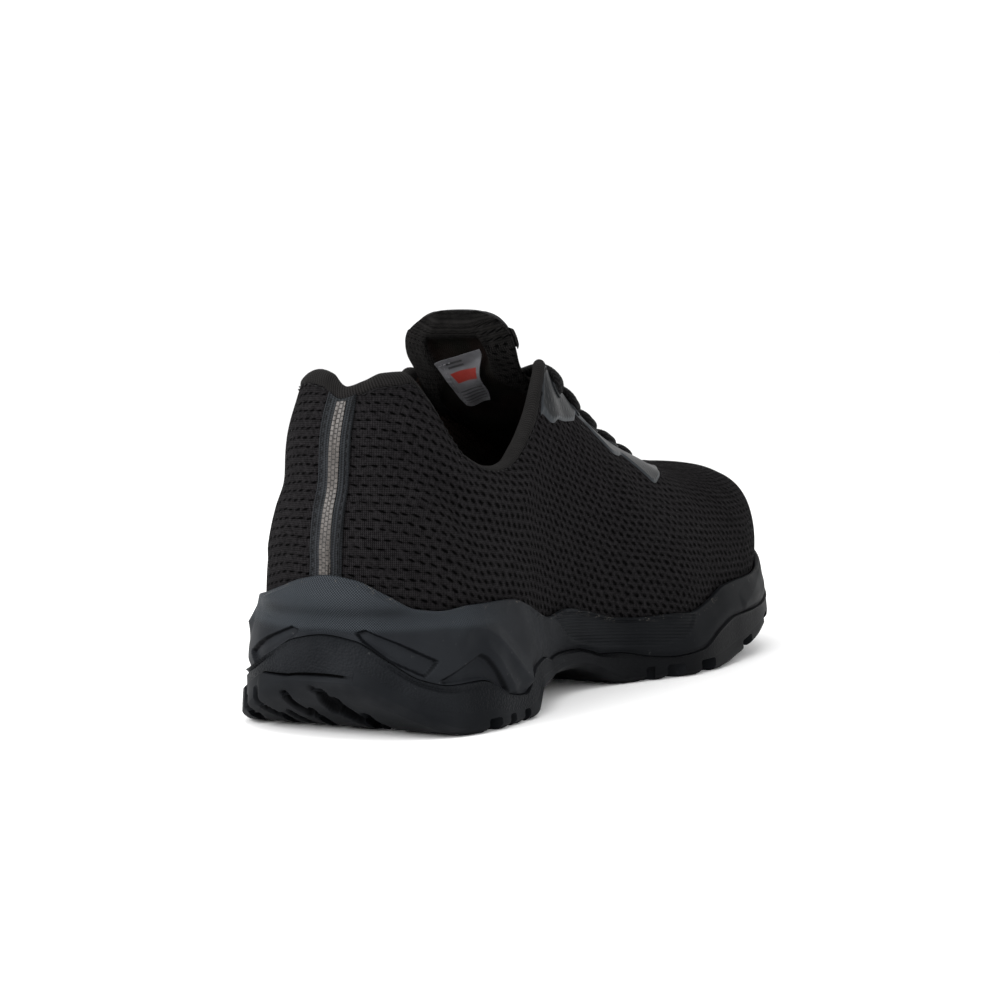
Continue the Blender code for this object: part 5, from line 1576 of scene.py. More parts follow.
def webbing_finish():
    made = Finish("heel_webbing", 0.70, specular=0.09, sheen=0.01)
    u, v = made.uv("tape")
    rib = (u * (2 * math.pi / 0.00105)).sin()
    weft = (v * (2 * math.pi / 0.00075)).sin()
    turned = ((u / 0.00105 * 0.5).part() - 0.5).size().ramp(0.2, 0.3)
    weave = rib * 0.6 + weft * (turned * 2.0 - 1.0) * 0.4
    cloud = made.noise(240.0, 2.0)
    low, high = (0.0028, 0.0032, 0.0038), (0.0165, 0.0185, 0.0212)
    made.paint(made.colour((weave * 0.35 + cloud * 0.5 + 0.2).ramp(0.1, 0.9), low, high))
    made.relief(weave, 0.00016, 0.9)
    return made.made


def stripe_finish():
    made = Finish("reflective_weave", 0.45, specular=0.35)
    u, v = made.uv("tape")
    lane = (u / 0.00120).floor()
    x = ((u / 0.00120).part() - 0.5).size()
    y = ((v / 0.00150 + (lane * 0.5).part()).part() - 0.5).size()
    brick = x.ramp(0.49, 0.38) * y.ramp(0.49, 0.36)
    threads = ((v / 0.00030).part() - 0.5).size()
    cloud = made.noise(500.0, 2.0)
    pale = made.colour(cloud.ramp(0.3, 0.7), (0.032, 0.027, 0.024), (0.054, 0.047, 0.042))
    pale = made.colour(threads.ramp(0.3, 0.5, 0.0, 0.4), pale, (0.032, 0.028, 0.025))
    made.paint(made.colour(brick, (0.014, 0.013, 0.0125), pale))
    made.relief(brick, 0.00025, 1.0)
    return made.made


webbing = webbing_finish()
reflective = stripe_finish()


STRAP_LEAN = (0.0014, -0.0010)
STRAP_HALF = TAPE_WIDTH * 0.44
STRIPE_HALF = 0.0018
STITCH_LINES = {"strap_stitches_inner": -0.78, "strap_stitches_outer": 0.80}
PROBE = 0.02


def strap_place(across, rows, low_z, top_v):
    """Station, side and v of strap points that lie across metres from its middle line. The
    line leans a little, and the wall's own width at each height turns metres into stations."""
    guess = np.abs(across) / (SIDE_WAY * 0.93)
    side = np.where(across > 0, OUTER, INNER)
    bottom = v_at_height(guess, side, np.full(len(across), low_z))
    share = np.linspace(0, 1, rows)[:, None]
    v = bottom[None, :] + (top_v - bottom[None, :]) * share
    middle = v[:, len(across) // 2]
    probe, outer = np.full(rows, PROBE), np.full(rows, OUTER)
    far = upper_point(probe, outer, middle) - upper_point(probe * 0, outer, middle)
    per_station = np.linalg.norm(far, axis=1) / PROBE
    moved = across[None, :] + STRAP_LEAN[0] + (STRAP_LEAN[1] - STRAP_LEAN[0]) * share
    return np.abs(moved) / per_station[:, None], np.where(moved > 0, OUTER, INNER), v


def make_strip(name, half, low_z, top_v, columns, out, back, finish, replaces=()):
    """A closed strip down the heel, half metres to each side of the strap's middle line."""
    station, side, v = strap_place(np.linspace(half, -half, columns), 90, low_z, top_v)
    outer = knit_face(station, side, v, out)
    points, faces = closed_sheet(outer, knit_face(station, side, v, back))
    uv = sheet_map(outer)
    return make_piece(name, points, faces, finish, uvs={"tape": doubled(uv)},
                      replaces=replaces)


def make_strap():
    reach = np.linspace(1, -1, 41)
    cord = 0.00060 * hump(reach, -0.91, 0.055) + 0.00030 * hump(reach, 0.93, 0.05)
    valley = -0.00030 * hump(reach, -0.78, 0.035) - 0.00015 * hump(reach, 0.80, 0.03)
    make_strip("heel_strap", STRAP_HALF, SIDEWALL_HEIGHT - 0.0006, 0.990, 41,
               0.00070 + cord + valley, -0.0002, webbing, ("heel_tape",))
    make_strip("reflective_stripe", STRIPE_HALF, SIDEWALL_HEIGHT - 0.0002, 0.975, 13,
               0.00095 + 0.00012 * np.cos(np.linspace(-1.4, 1.4, 13)), 0.0006, reflective)
    for name, place in STITCH_LINES.items():
        station, side, v = strap_place(np.full(3, place * TAPE_WIDTH * 0.44), 60, SIDEWALL_HEIGHT, 0.975)
        station, side, v = station[:, 1], side[:, 1], v[:, 1]
        add_stitches(name, knit_face(station, side, v, 0.0005), upper_normal(station, side, v),
                     0.0026, 0.0016, 0.0004, dark_thread)


make_strap()

# %% [markdown]
# The tongue is a padded pillow of knit: thick round its rim and hollow in the middle of its
# back, where a label is sewn in. Its form comes from the CAD's rows, joined by smooth
# curves, with a face and a back that meet in a round edge.

# %% The tongue's form
TONGUE_STATIONS = (0.800, 0.742, 0.700, 0.655, 0.626, 0.582, 0.551, 0.519, 0.495, 0.473, 0.450)
TONGUE_UNDER = 0.0075
TONGUE_TOP = (
    (0.28, 0.36, 0.97, 1.15),
    (0.50, 0.52, 1.00, 1.25),
    (0.68, 0.62, 0.96, 1.30),
    (0.82, 0.69, 0.86, 1.30),
    (0.92, 0.74, 0.68, 1.15),
    (0.98, 0.77, 0.46, 0.80),
)
TONGUE_ACROSS = np.array([-1.0, -0.72, -0.38, 0.0, 0.38, 0.72, 1.0])


def tongue_rows():
    """Outer face, thickness direction and thickness of each row of the CAD's tongue."""
    faces, normals, thick = [], [], []
    for station in TONGUE_STATIONS:
        ends = []
        for side in (INNER, OUTER):
            s, d = np.array([station] * 3), np.array([side] * 3)
            v = v_back(s, d, np.array([TONGUE_UNDER, TONGUE_UNDER * 0.45, 0.0]))
            depth = wall_thickness(s, v) + SKIN_GAP + GAP
            ends.append((upper_skin(s, d, v, -depth), upper_normal(s, d, v)))
        (inner, n_in), (outer, n_out) = ends
        middle = unit((n_in[2] + n_out[2]) / 2)
        faces.append(np.stack([*inner, (inner[2] + outer[2]) / 2, *outer[::-1]]))
        normals.append(np.stack([*n_in, middle, *n_out[::-1]]))
        thick.append(1.0)
    base = faces[-1][3]
    bend = TONGUE_ACROSS * math.radians(46)
    for rise, back, wide, fat in TONGUE_TOP:
        half = TONGUE_WIDTH / 2 * wide
        y = TONGUE_SHIFT * min(1.0, rise * 1.6) + half * np.sin(bend) / math.sin(math.radians(46))
        curl = half * (1 - np.cos(bend)) * 0.9
        x = base[0] - TONGUE_RISE * back - curl * 0.72
        z = base[2] + TONGUE_RISE * rise - curl * 0.34
        faces.append(np.stack([x, y, z], 1))
        normals.append(unit(np.stack([0.86 * np.cos(bend), np.sin(bend), 0.5 * np.cos(bend)], 1)))
        thick.append(fat)
    return np.array(faces), np.array(normals), np.array(thick)


def curve(values, knots, at):
    """A smooth curve through rows of values: a cubic between each two, level with its
    neighbours' slope."""
    slope = np.gradient(values, knots, axis=0)
    i = np.clip(np.searchsorted(knots, at, side="right") - 1, 0, len(knots) - 2)
    shape = (-1,) + (1,) * (values.ndim - 1)
    step = (knots[i + 1] - knots[i]).reshape(shape)
    t = (at - knots[i]).reshape(shape) / step
    start = values[i] * (1 + 2 * t) * (1 - t) ** 2 + slope[i] * step * t * (1 - t) ** 2
    end = values[i + 1] * t * t * (3 - 2 * t) + slope[i + 1] * step * t * t * (t - 1)
    return start + end


def tongue_surface(rows, columns):
    """The tongue's face, its outward directions, its thickness and its way from the front."""
    face, normal, thick = tongue_rows()
    way = np.concatenate([[0], np.cumsum(np.linalg.norm(np.diff(face[:, 3], axis=0), axis=1))])
    at = way[-1] * np.linspace(0, 1, rows)
    face, normal, thick = [curve(v, way, at) for v in (face, normal, thick)]
    across = np.sin(np.linspace(-math.pi / 2, math.pi / 2, columns))
    face = curve(face.transpose(1, 0, 2), TONGUE_ACROSS, across).transpose(1, 0, 2)
    normal = curve(normal.transpose(1, 0, 2), TONGUE_ACROSS, across).transpose(1, 0, 2)
    left = (at[-1] - at)[:, None]
    outer_side = np.clip(across, 0, 1)[None, :] ** 1.5
    inner_side = np.clip(-across, 0, 1)[None, :] ** 1.5
    face[..., 1] += outer_side * (0.0012 * hump(left, 0.0215, 0.0105) - 0.0030 * hump(left, 0.0, 0.0050))
    face[..., 1] -= inner_side * 0.0014 * hump(left, 0.0070, 0.0060)
    return face, unit(normal), thick, at, across


TONGUE_GRID = (150, 81)
tongue_face, tongue_out, tongue_fat, tongue_way, tongue_across = tongue_surface(*TONGUE_GRID)


def pillow():
    """The pillow's face and back: the middle surface moved out and in by half the thickness,
    which falls to nothing at the edges as sqrt(1 - a^4). The back has a padded rim and a
    hollow."""
    wide = np.abs(tongue_across)[None, :]
    left = (tongue_way[-1] - tongue_way)[:, None]
    half_width = way_along(tongue_face, 1)[:, -1:] / 2
    round_side = np.sqrt(np.clip(1 - wide**5, 0, 1))
    round_top = np.sqrt(1 - np.clip(1 - left / 0.0042, 0, 1) ** 2.4)
    round_front = np.sqrt(1 - np.clip(1 - tongue_way[:, None] / 0.006, 0, 1) ** 2)
    shape = round_side * round_top * round_front
    half = (TONGUE_THICKNESS * tongue_fat / 2)[:, None] * shape
    full = 0.45 + 0.55 * np.clip((1 - wide) / 0.3, 0, 1) ** 0.7
    middle_depth = (TONGUE_THICKNESS * tongue_fat / 2)[:, None] * full
    border = np.minimum(half_width * (1 - wide), left + 0.0005)
    broad = 0.0032 * smooth(0.004, 0.018, left) * smooth(0.0, 0.6, tongue_across)[None, :]
    border = border - broad
    top_part = smooth(0.112, 0.128, tongue_way)[:, None]
    pad = (0.0015 * hump(border, 0.0040, 0.0026) - 0.0034 * smooth(0.0058, 0.0100, border)) * top_part
    soft = 0.00025 * np.sin(tongue_way * 310)[:, None] * np.sin(tongue_across * 5 + 1)[None, :]
    seam = -0.0004 * hump(tongue_across, -0.80, 0.022)[None, :] * smooth(0.09, 0.11, tongue_way)[:, None]
    middle = tongue_face - tongue_out * middle_depth[..., None]
    front = middle + tongue_out * (np.minimum(half, middle_depth) + soft * 0.5 * shape)[..., None]
    back = middle - tongue_out * (half + pad * shape + soft * shape + seam * shape)[..., None]
    return front, back, border


tongue_front, tongue_back, tongue_border = pillow()
print("tongue is", round(float(tongue_way[-1]) * 1000), "mm long")

# %% [markdown]
# Rim and face are an open-holed knit like the upper's. The hollow behind is a close, fine
# lining in a warm dark colour, painted darker still as the shade in the hollow. A number on
# each point, the distance to the border, chooses between them.

# %% Tongue, tab and keeper


def tongue_finish():
    made = Finish("tongue_knit", 0.90, specular=0.018, sheen=0.004)
    u, v = made.uv("cloth")
    inner, outer = made.value("inner"), made.value("outer")
    yarn = stitches(u, v, 0.00075, 0.00080)
    big = holes(u, v, (0.0028, 0.0024), (0.00070, 0.00050), slant=0.3, lean=0.2)
    small = holes(u, v, (0.0019, 0.0017), (0.00048, 0.00030), slant=0.4)
    open_ = (big * outer + small * outer.flip() * 0.7) * inner.flip()
    cloud = made.noise(380.0, 3.0)
    tone = yarn * 0.55 + cloud * 0.6
    body = made.colour(tone.ramp(0.25, 0.95), (0.0010, 0.0010, 0.0010), (0.0130, 0.0122, 0.0118))
    # The hollow is a warm dark lining, painted darker still as the shade in the hollow.
    warm_in_painted_shade = made.colour(made.noise(60.0).ramp(0.4, 0.65), (0.0030, 0.0030, 0.0022), (0.0066, 0.0038, 0.0033))
    body = made.colour(inner * 0.85, body, warm_in_painted_shade)
    made.paint(made.colour(open_, body, (0.0003, 0.0003, 0.0003)))
    made.relief(yarn, 0.00016, 0.9)
    made.relief(open_.flip(), 0.0006, 1.0)
    return made.made


tongue_knit = tongue_finish()


def make_tongue_piece():
    rows, columns = TONGUE_GRID
    points = np.concatenate([tongue_front, tongue_back[:, -2:0:-1]], axis=1)
    points[-1] = points[-1].mean(axis=0) * 0.15 + points[-1] * 0.85
    count = points.shape[1]
    faces = grid_faces(rows, count, closed_columns=True)
    caps = []
    for start, turn in ((0, 1), ((rows - 1) * count, -1)):
        half = count // 2
        strip = [(start + i, start + i + 1, start + count - i - 1, start + (count - i) % count)
                 for i in range(half)]
        caps += [q[::turn] for q in strip]
    caps = [tuple(dict.fromkeys(q)) for q in caps]
    caps = [q for q in caps if len(q) > 2]
    across = way_along(points, 1)
    uv = np.stack([across, np.broadcast_to(tongue_way[:, None], across.shape)], -1)
    border = np.concatenate([tongue_border, tongue_border[:, -2:0:-1]], axis=1)
    behind = np.concatenate([np.zeros(columns), np.ones(columns - 2)])[None, :] * np.ones((rows, 1))
    inner = behind * smooth(0.0062, 0.0085, border)
    signed = np.concatenate([tongue_across, tongue_across[-2:0:-1]])[None, :]
    outer = np.clip(1 - behind + behind * smooth(-0.79, -0.82, signed), 0, 1)
    faces = [tuple(f) for f in faces.tolist()] + caps
    piece = make_piece("tongue_pad", points, faces, tongue_knit, uvs={"cloth": uv},
                       values={"inner": inner, "outer": outer}, replaces=("tongue",))
    face_outwards(piece.data, welded=1e-6)


make_tongue_piece()


def patch_on(grid, out, rows, columns, lift, thick):
    """A thin closed patch over part of the tongue: rows and columns are lists of grid places
    that may lie between the grid's own, and lift is its height over it."""
    def at(values):
        for places in (rows, columns):
            counted = np.arange(values.shape[0], dtype=float)
            values = curve(values, counted, places).transpose(1, 0, 2)
        return values

    base, way = at(grid), unit(at(out))
    return base + way * (lift + thick)[..., None], base + way * lift[..., None]


def edge_round(rows, columns, soft):
    """1 in the middle of a patch, falling to 0 along its rim within a share soft of it."""
    r = np.minimum(np.linspace(0, 1, rows), np.linspace(1, 0, rows))[:, None]
    c = np.minimum(np.linspace(0, 1, columns), np.linspace(1, 0, columns))[None, :]
    return np.sqrt(smooth(0, soft, r) * smooth(0, soft, c))


def smooth_finish(name, low, high, roughness):
    made = Finish(name, roughness, specular=0.12)
    cloud = made.noise(120.0, 2.0)
    fine = made.noise(1700.0, 2.0)
    made.paint(made.colour(cloud.ramp(0.35, 0.65), low, high))
    made.rough(cloud * 0.1 + fine * 0.08 + roughness - 0.09)
    made.relief(fine, 0.00004, 0.7)
    return made.made


tab_skin = smooth_finish("tab_skin", (0.0075, 0.0076, 0.0080), (0.0110, 0.0112, 0.0118), 0.60)


def way_row(way):
    """The grid row, as a number with a part, at a way along the tongue from its front."""
    return np.interp(way, tongue_way, np.arange(len(tongue_way)))


def make_tab():
    end = tongue_way[-1]
    rows = way_row(np.linspace(end - 0.0185, end - 0.0004, 30))
    columns = np.linspace(13, 67, 45)
    soft = edge_round(30, 45, 0.06)
    lift = np.full(soft.shape, 0.0001)
    outer, inner = patch_on(tongue_front, tongue_out, rows, columns, lift, 0.0003 + 0.0009 * soft)
    points, faces = closed_sheet(outer, inner)
    make_piece("tongue_tab_skin", points, faces[:, ::-1], tab_skin, replaces=("tongue_tab",))
    rows = way_row(np.linspace(end - 0.0130, end - 0.0065, 12))
    columns = np.linspace(6, 74, 49)
    soft = edge_round(12, 49, 0.12)
    arch = 0.0006 * (1 - np.abs(np.linspace(-1, 1, 49)) ** 6)[None, :] * np.ones((12, 1))
    outer, inner = patch_on(tongue_front, tongue_out, rows, columns, arch + 0.0004, 0.0003 + 0.0007 * soft)
    points, faces = closed_sheet(outer, inner)
    uv = sheet_map(outer)
    make_piece("lace_keeper", points, faces[:, ::-1], binding_knit, uvs={"tape": doubled(uv)})


make_tab()

# %% [markdown]
# The label in the hollow is white satin, painted grey as the shade in the hollow, stitched down
# along one side and at the corner above it. It carries a plain red block and a few grey rules
# that say nothing.

# %% Label


def label_finish():
    made = Finish("label_satin", 0.45, specular=0.25, sheen=0.02)
    u, v = made.uv("label")
    slanted = u + v * 0.5
    red = slanted.ramp(0.50, 0.515) * u.ramp(0.90, 0.885) * v.ramp(0.50, 0.515) * v.ramp(0.715, 0.70)
    line = u.ramp(0.17, 0.185) * u.ramp(0.94, 0.925)
    rules = ((v / 0.062).part() - 0.5).size().ramp(0.24, 0.16)
    rules = rules * v.ramp(0.08, 0.10) * v.ramp(0.40, 0.38) * line
    marks = ((v / 0.085).part() - 0.5).size().ramp(0.28, 0.20) * v.ramp(0.775, 0.79) * v.ramp(0.94, 0.92)
    marks = marks * u.ramp(0.17, 0.185) * u.ramp(0.56, 0.545)
    weft = (v * (2 * math.pi * 90.0)).sin() * (u * (2 * math.pi * 70.0)).sin()
    cloud = made.noise(150.0, 2.0)
    # The satin is painted mid grey instead of white: painted shade of the tongue's hollow.
    satin_in_painted_shade = made.colour(cloud.ramp(0.3, 0.7), (0.066, 0.066, 0.072), (0.098, 0.098, 0.105))
    printed = made.colour((rules + marks).least(1.0) * 0.85, satin_in_painted_shade, (0.010, 0.010, 0.011))
    made.paint(made.colour(red * 0.95, printed, (0.15, 0.0075, 0.003)))
    made.relief(weft, 0.00002, 0.6)
    return made.made


label_satin = label_finish()
# Each corner: mm below the tongue's top, and the share of the half width towards the outer side.
LABEL_CORNERS = {
    "top_left": (15.5, 0.56), "top_right": (10.6, -0.60),
    "low_left": (34.4, 0.17), "low_right": (31.6, -0.08),
}


def make_label():
    rows, columns = 34, 40
    up = np.linspace(0, 1, rows)[:, None]
    right = np.linspace(0, 1, columns)[None, :]
    end = tongue_way[-1]
    below, across = [
        (LABEL_CORNERS["low_left"][i] * (1 - right) + LABEL_CORNERS["low_right"][i] * right) * (1 - up)
        + (LABEL_CORNERS["top_left"][i] * (1 - right) + LABEL_CORNERS["top_right"][i] * right) * up
        for i in (0, 1)
    ]
    way = end - below / 1000 + 0.0016 * up**2 * hump(right, 0.65, 0.30)
    r = way_row(way)
    c = np.interp(across, tongue_across, np.arange(len(tongue_across)))
    r0, c0 = np.clip(r.astype(int), 0, TONGUE_GRID[0] - 2), np.clip(c.astype(int), 0, TONGUE_GRID[1] - 2)
    fr, fc = (r - r0)[..., None], (c - c0)[..., None]

    def at(grid):
        low = grid[r0, c0] * (1 - fc) + grid[r0, c0 + 1] * fc
        high = grid[r0 + 1, c0] * (1 - fc) + grid[r0 + 1, c0 + 1] * fc
        return low * (1 - fr) + high * fr

    base, out = at(tongue_back), unit(at(tongue_out))
    flat = (base[0, 0] * (1 - right[..., None]) + base[0, -1] * right[..., None]) * (1 - up[..., None])
    flat = flat + (base[-1, 0] * (1 - right[..., None]) + base[-1, -1] * right[..., None]) * up[..., None]
    flat = base + (flat - base) * 0.75
    base = flat - out * np.maximum(0.0, -((base - flat) * out).sum(-1))[..., None]
    lift = 0.0006 + 0.0016 * up**3 * right**1.5 + 0.0008 * up**4 + 0.0005 * np.sin(right * 6 + up * 4)
    outer = base - out * (lift + 0.00025)[..., None]
    inner = base - out * lift[..., None]
    points, faces = closed_sheet(outer, inner)
    uv = np.stack(np.broadcast_arrays(right, up), -1)
    label = make_piece("tongue_label", points, faces, label_satin, uvs={"label": doubled(uv)})
    line = outer[:, 4]
    add_stitches("label_stitches", line, -out[:, 4], 0.0019, 0.0012, 0.0003, grey_thread)
    top = outer[-4, :12]
    add_stitches("label_top_stitches", top, -out[-4, :12], 0.0019, 0.0012, 0.0003, grey_thread)


grey_thread = thread_finish("grey_thread", (0.16, 0.16, 0.17))
make_label()

# %% [markdown]
# The lace is a flat-oval black braid. From each hole it comes up over the film, crosses the
# throat over the tongue and goes down the next hole on the other side. One lace of each pair
# rides over the other. The front pair of holes has a straight bar. The ends stay inside the
# top holes.

# %% Lace


def eyelet_place(station, side, out):
    """The middle of a lace hole, off the film by out, and the way out of the shoe there."""
    station, side = np.array([station]), np.array([side])
    v = v_back(station, side, np.array([EYELET_INSET]))
    normal = upper_normal(station, side, v)[0]
    return knit_face(station, side, v, 0.0)[0] + normal * out, normal


def over_rim(station, side, ride):
    """Where a lace rides over the throat's edge: its middle, and the way out there."""
    s, d, edge = np.array([station]), np.array([side]), np.ones(1)
    normal = upper_normal(s, d, edge)[0]
    up = unit(upper_point(s, d, edge)[0] - upper_point(s, d, edge * 0.97)[0])
    way = unit(normal + 1.2 * up)
    half = float(wall_thickness(s, edge)[0]) / 2
    return upper_point(s, d, edge)[0] - normal * half + way * (half + ride), way


LACE_RIDE = 0.0019
LACE_STEPS, LACE_SIDES = 64, 20
FILM_FACE = 0.0006


def lace_path(number, side, ahead, lift):
    """Points along one crossing and the way out at each, from inside one hole to inside the
    other."""
    near_at, far_at = EYELETS[number], EYELETS[number + ahead]
    pitch = far_at - near_at
    rows = []
    for station, which, share in ((near_at, side, 0.16), (far_at, -side, -0.16)):
        hole, n_hole = eyelet_place(station, which, FILM_FACE + 0.0016)
        inside, _ = eyelet_place(station, which, -0.0035)
        rim, n_rim = over_rim(station + share * pitch, which, LACE_RIDE)
        rows.append([(inside, n_hole), (hole - (hole - inside) * 0.25, n_hole),
                     (hole + n_hole * 0.0004 + (rim - hole) * 0.3, unit(n_hole + 0.3 * n_rim)), (rim, n_rim)])
    crown = unit(rows[0][3][1] + rows[1][3][1])
    near, far = rows[0][3][0], rows[1][3][0]
    middle = [((near * (1 - t) + far * t) + crown * (CROWN + lift * (1 - (2 * t - 1) ** 2)), crown)
              for t in (0.25, 0.5, 0.75)]
    line = rows[0] + middle + rows[1][::-1]
    points = np.array([p for p, _ in line])
    outs = np.array([n for _, n in line])
    way = np.concatenate([[0], np.cumsum(np.linalg.norm(np.diff(points, axis=0), axis=1))])
    at = np.linspace(0, way[-1], LACE_STEPS)
    return curve(points, way, at), unit(curve(outs, way, at)), at


def lace_tube(number, side, ahead, lift):
    """A tube round the path with an oval section. It is pinched where it enters the holes."""
    path, out, way = lace_path(number, side, ahead, lift)
    ahead_way = unit(np.gradient(path, axis=0))
    wide = unit(np.cross(ahead_way, out))
    high = np.cross(wide, ahead_way)
    from_end = np.minimum(way, way[-1] - way)
    open_ = smooth(0.002, 0.009, from_end)
    half_wide = LACE_WIDTH / 2 * (0.50 + 0.50 * open_)
    half_high = LACE_THICKNESS / 2 * (1.12 - 0.10 * open_)
    turn = np.arange(LACE_SIDES) * math.pi / 10
    across = np.sign(np.cos(turn)) * np.abs(np.cos(turn)) ** 0.85
    upward = np.sign(np.sin(turn)) * np.abs(np.sin(turn)) ** 0.85
    tube = (path[:, None, :] + (half_wide[:, None] * across)[..., None] * wide[:, None, :]
            + (half_high[:, None] * upward)[..., None] * high[:, None, :])
    uv = np.stack(np.broadcast_arrays(way[:, None], np.arange(LACE_SIDES)[None, :] * 0.00075), -1)
    return tube, uv


def lace_finish():
    made = Finish("lace_cord", 0.86, specular=0.06, sheen=0.01)
    u, v = made.uv("lace")
    x = ((v / 0.0030).part() - 0.5).size()
    braid = ((u / 0.00150 + x * 1.6) * (2 * math.pi)).sin()
    thread = ((u / 0.00045 - x * 3.0) * (2 * math.pi)).sin()
    tone = braid * 0.3 + thread * 0.12 + made.noise(500.0, 2.0) * 0.5 + 0.25
    made.paint(made.colour(tone.ramp(0.1, 0.9), (0.0022, 0.0022, 0.0023), (0.0105, 0.0103, 0.0106)))
    made.relief(braid, 0.00012, 0.8)
    made.relief(thread, 0.00007, 0.7)
    return made.made


def make_lacing():
    points, faces, uvs = [], [], []
    crossings = [(n, side, 1, 0.0017 if side * (-1) ** n > 0 else -0.0004)
                 for n in range(len(EYELETS) - 1) for side in (INNER, OUTER)]
    crossings.append((len(EYELETS) - 1, INNER, 0, 0.0))
    start = 0
    for crossing in crossings:
        tube, uv = lace_tube(*crossing)
        rows, count = tube.shape[:2]
        faces += (grid_faces(rows, count, closed_columns=True) + start).tolist()
        faces.append([start + k for k in range(count)][::-1])
        faces.append([start + (rows - 1) * count + k for k in range(count)])
        points.append(tube.reshape(-1, 3))
        uvs.append(uv.reshape(-1, 2))
        start += rows * count
    piece = make_piece("lace_braid", np.concatenate(points), [tuple(f) for f in faces],
                       lace_finish(), uvs={"lace": np.concatenate(uvs)}, replaces=("lace",))
    face_outwards(piece.data)


make_lacing()

# %% [markdown]
# Each lace hole has a pressed, slightly raised rim, laid as a ring on the film.

# %% Rims of the lace holes
HOLE_RADIUS = 0.0024
RING_STEPS, RING_SIDES = 28, 8


def make_hole_rims():
    """Ten small rings on the film: a circle of radius HOLE_RADIUS swept by a smaller circle."""
    turn = np.arange(RING_STEPS) * 2 * math.pi / RING_STEPS
    small = np.arange(RING_SIDES) * 2 * math.pi / RING_SIDES
    points, faces = [], []
    for station in EYELETS:
        for side in (INNER, OUTER):
            middle, n = eyelet_place(station, side, FILM_FACE)
            a = unit(np.cross(n, (0.0, 0.0, 1.0)))
            b = np.cross(n, a)
            spoke = np.cos(turn)[:, None] * a + np.sin(turn)[:, None] * b
            ring = (middle + spoke[:, None] * (HOLE_RADIUS + 0.00055 * np.cos(small)[None, :, None])
                    + n * (0.00040 * np.sin(small)[None, :, None]))
            quads = grid_faces(RING_STEPS, RING_SIDES, closed_rows=True, closed_columns=True)
            faces.append(quads + RING_STEPS * RING_SIDES * len(points))
            points.append(ring.reshape(-1, 3))
    piece = make_piece("lace_hole_rims", np.concatenate(points), np.concatenate(faces),
                       smooth_finish("hole_rim", (0.010, 0.011, 0.012), (0.016, 0.018, 0.020), 0.45))
    face_outwards(piece.data)


make_hole_rims()

# %% [markdown]
# The insole is a thin foam bed, covered in dark cloth, with a raised edge that meets the wall.

# %% Insole


def make_insole_bed():
    station, side = around(150)
    count = len(station)
    inset = -FEATHER_INSET - UPPER_WALL - 2 * GAP
    edge = sole_ring(station, side, inset, 0.0)
    middle = between_sides(edge)
    rows = []
    shares = np.sin(np.linspace(0, math.pi / 2, 26))
    for share in shares:
        row = middle + (edge - middle) * share
        dish = -0.0016 * (1 - share**4) + 0.0003 * np.sin(row[:, 0] * 60) * (1 - share)
        row[:, 2] = bed_level(row[:, 0]) + GAP + INSOLE_THICKNESS + dish
        rows.append(row)
    rim = sole_ring(station, side, inset + 0.00025, 0.0)
    rim[:, 2] = bed_level(rim[:, 0]) + GAP + INSOLE_THICKNESS * 0.55
    low = [rim]
    for share in (1.0, 0.5, 0.0):
        row = middle + (edge - middle) * share
        row[:, 2] = bed_level(row[:, 0]) + GAP
        low.append(row)
    points = np.array(low[::-1] + rows[::-1])
    uv = points[..., :2]
    piece = make_piece("insole_bed", points, grid_faces(len(points), count, closed_columns=True),
                       insole_cloth(), uvs={"rear": uv}, replaces=("insole",))
    weld(piece)


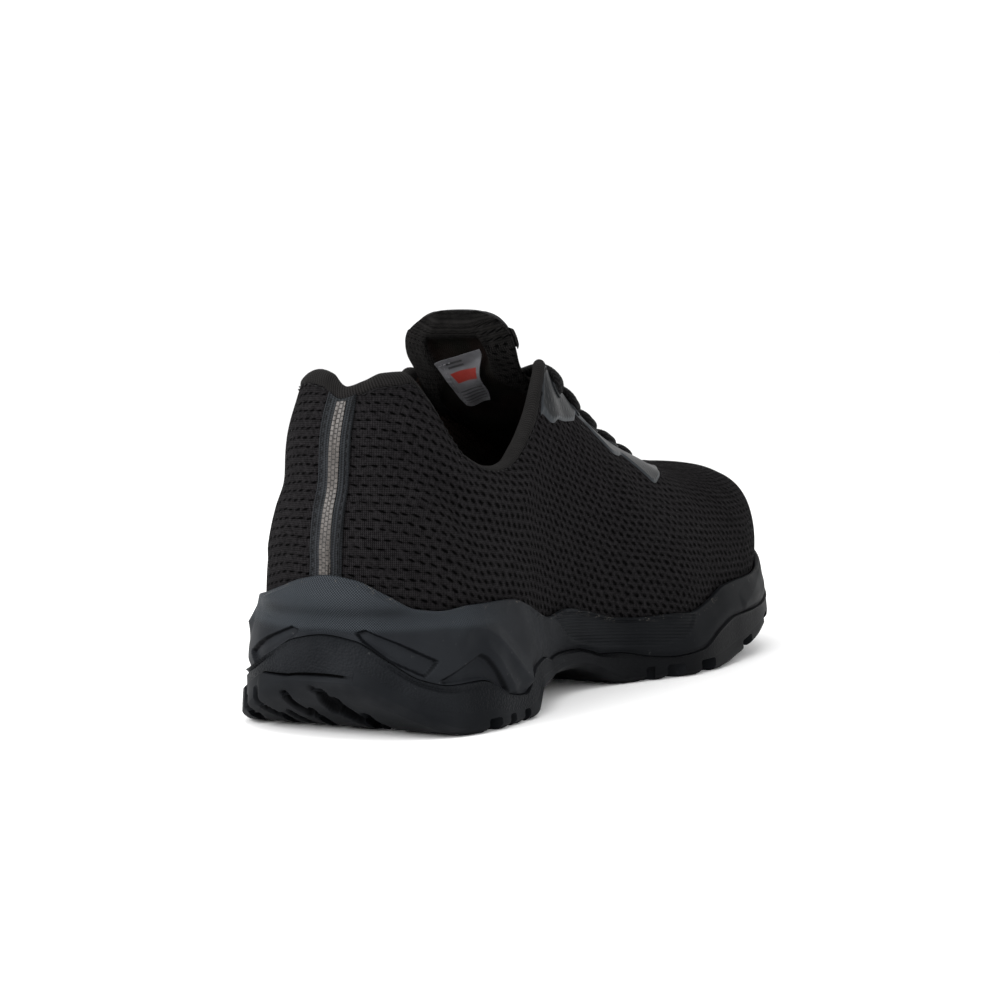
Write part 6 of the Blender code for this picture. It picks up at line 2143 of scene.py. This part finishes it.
def insole_cloth():
    made = Finish("insole_cloth", 0.9, specular=0.05, sheen=0.01)
    u, v = made.uv("rear")
    twill = ((u / 0.0012 + v / 0.0012) * (2 * math.pi)).sin()
    dots = holes(u, v, (0.0080, 0.0060), (0.0008, 0.0008))
    cloud = made.noise(90.0, 3.0)
    low, high = (0.0085, 0.0080, 0.0078), (0.0190, 0.0170, 0.0165)
    body = made.colour((cloud + twill * 0.12).ramp(0.3, 0.8), low, high)
    made.paint(made.colour(dots, body, (0.002, 0.002, 0.002)))
    made.relief(twill, 0.00012, 0.7)
    made.relief(dots.flip(), 0.0005, 0.9)
    return made.made


make_insole_bed()

# %% [markdown]
# The photograph has a white ground and soft light from all round, with a little more from
# above. A large pale floor, a bright even sky and three wide lamps give the same.

# %% Floor and light


def add_floor():
    """A pale sheet that is level round the shoe."""
    side = np.linspace(-150.0, 150.0, 13)
    x, y = np.meshgrid(side, side, indexing="xy")
    mesh = bpy.data.meshes.new("floor")
    points = np.stack([x, y, np.zeros_like(x)], -1).reshape(-1, 3)
    mesh.from_pydata(points.tolist(), [], grid_faces(13, 13).tolist())
    finish = Finish("pale_floor", 0.55, specular=0.2)
    finish.paint(finish.colour(finish.noise(3.0), (0.90, 0.90, 0.90), (0.92, 0.92, 0.92)))
    mesh.materials.append(finish.made)
    made = bpy.data.objects.new("floor", mesh)
    bpy.context.scene.collection.objects.link(made)


def add_lamp(name, place, size, watts, target=(0.09, 0.0, 0.05)):
    """A square lamp that looks at the shoe."""
    data = bpy.data.lights.new(name, "AREA")
    data.shape = "SQUARE"
    data.size = size
    data.energy = watts
    made = bpy.data.objects.new(name, data)
    bpy.context.scene.collection.objects.link(made)
    back = unit(np.array(place, float) - np.array(target))
    right = unit(np.cross((0.0, 0.0, 1.0), back))
    axes = np.eye(4)
    axes[:3, 0], axes[:3, 1], axes[:3, 2], axes[:3, 3] = right, np.cross(back, right), back, place
    made.matrix_world = Matrix(axes.tolist())


def add_sky(brightness):
    world = bpy.data.worlds.new("studio")
    world.use_nodes = True
    ground = world.node_tree.nodes["Background"]
    ground.inputs["Color"].default_value = (1.0, 1.0, 1.0, 1.0)
    ground.inputs["Strength"].default_value = brightness
    bpy.context.scene.world = world


bpy.context.scene.view_settings.view_transform = "Standard"
add_floor()
add_sky(1.12)
add_lamp("top_lamp", (-0.25, -0.15, 1.4), 1.0, 9.0)
add_lamp("left_lamp", (-1.1, 0.6, 0.75), 0.9, 26.0)
add_lamp("right_lamp", (-0.6, -1.0, 0.5), 0.8, 1.5)
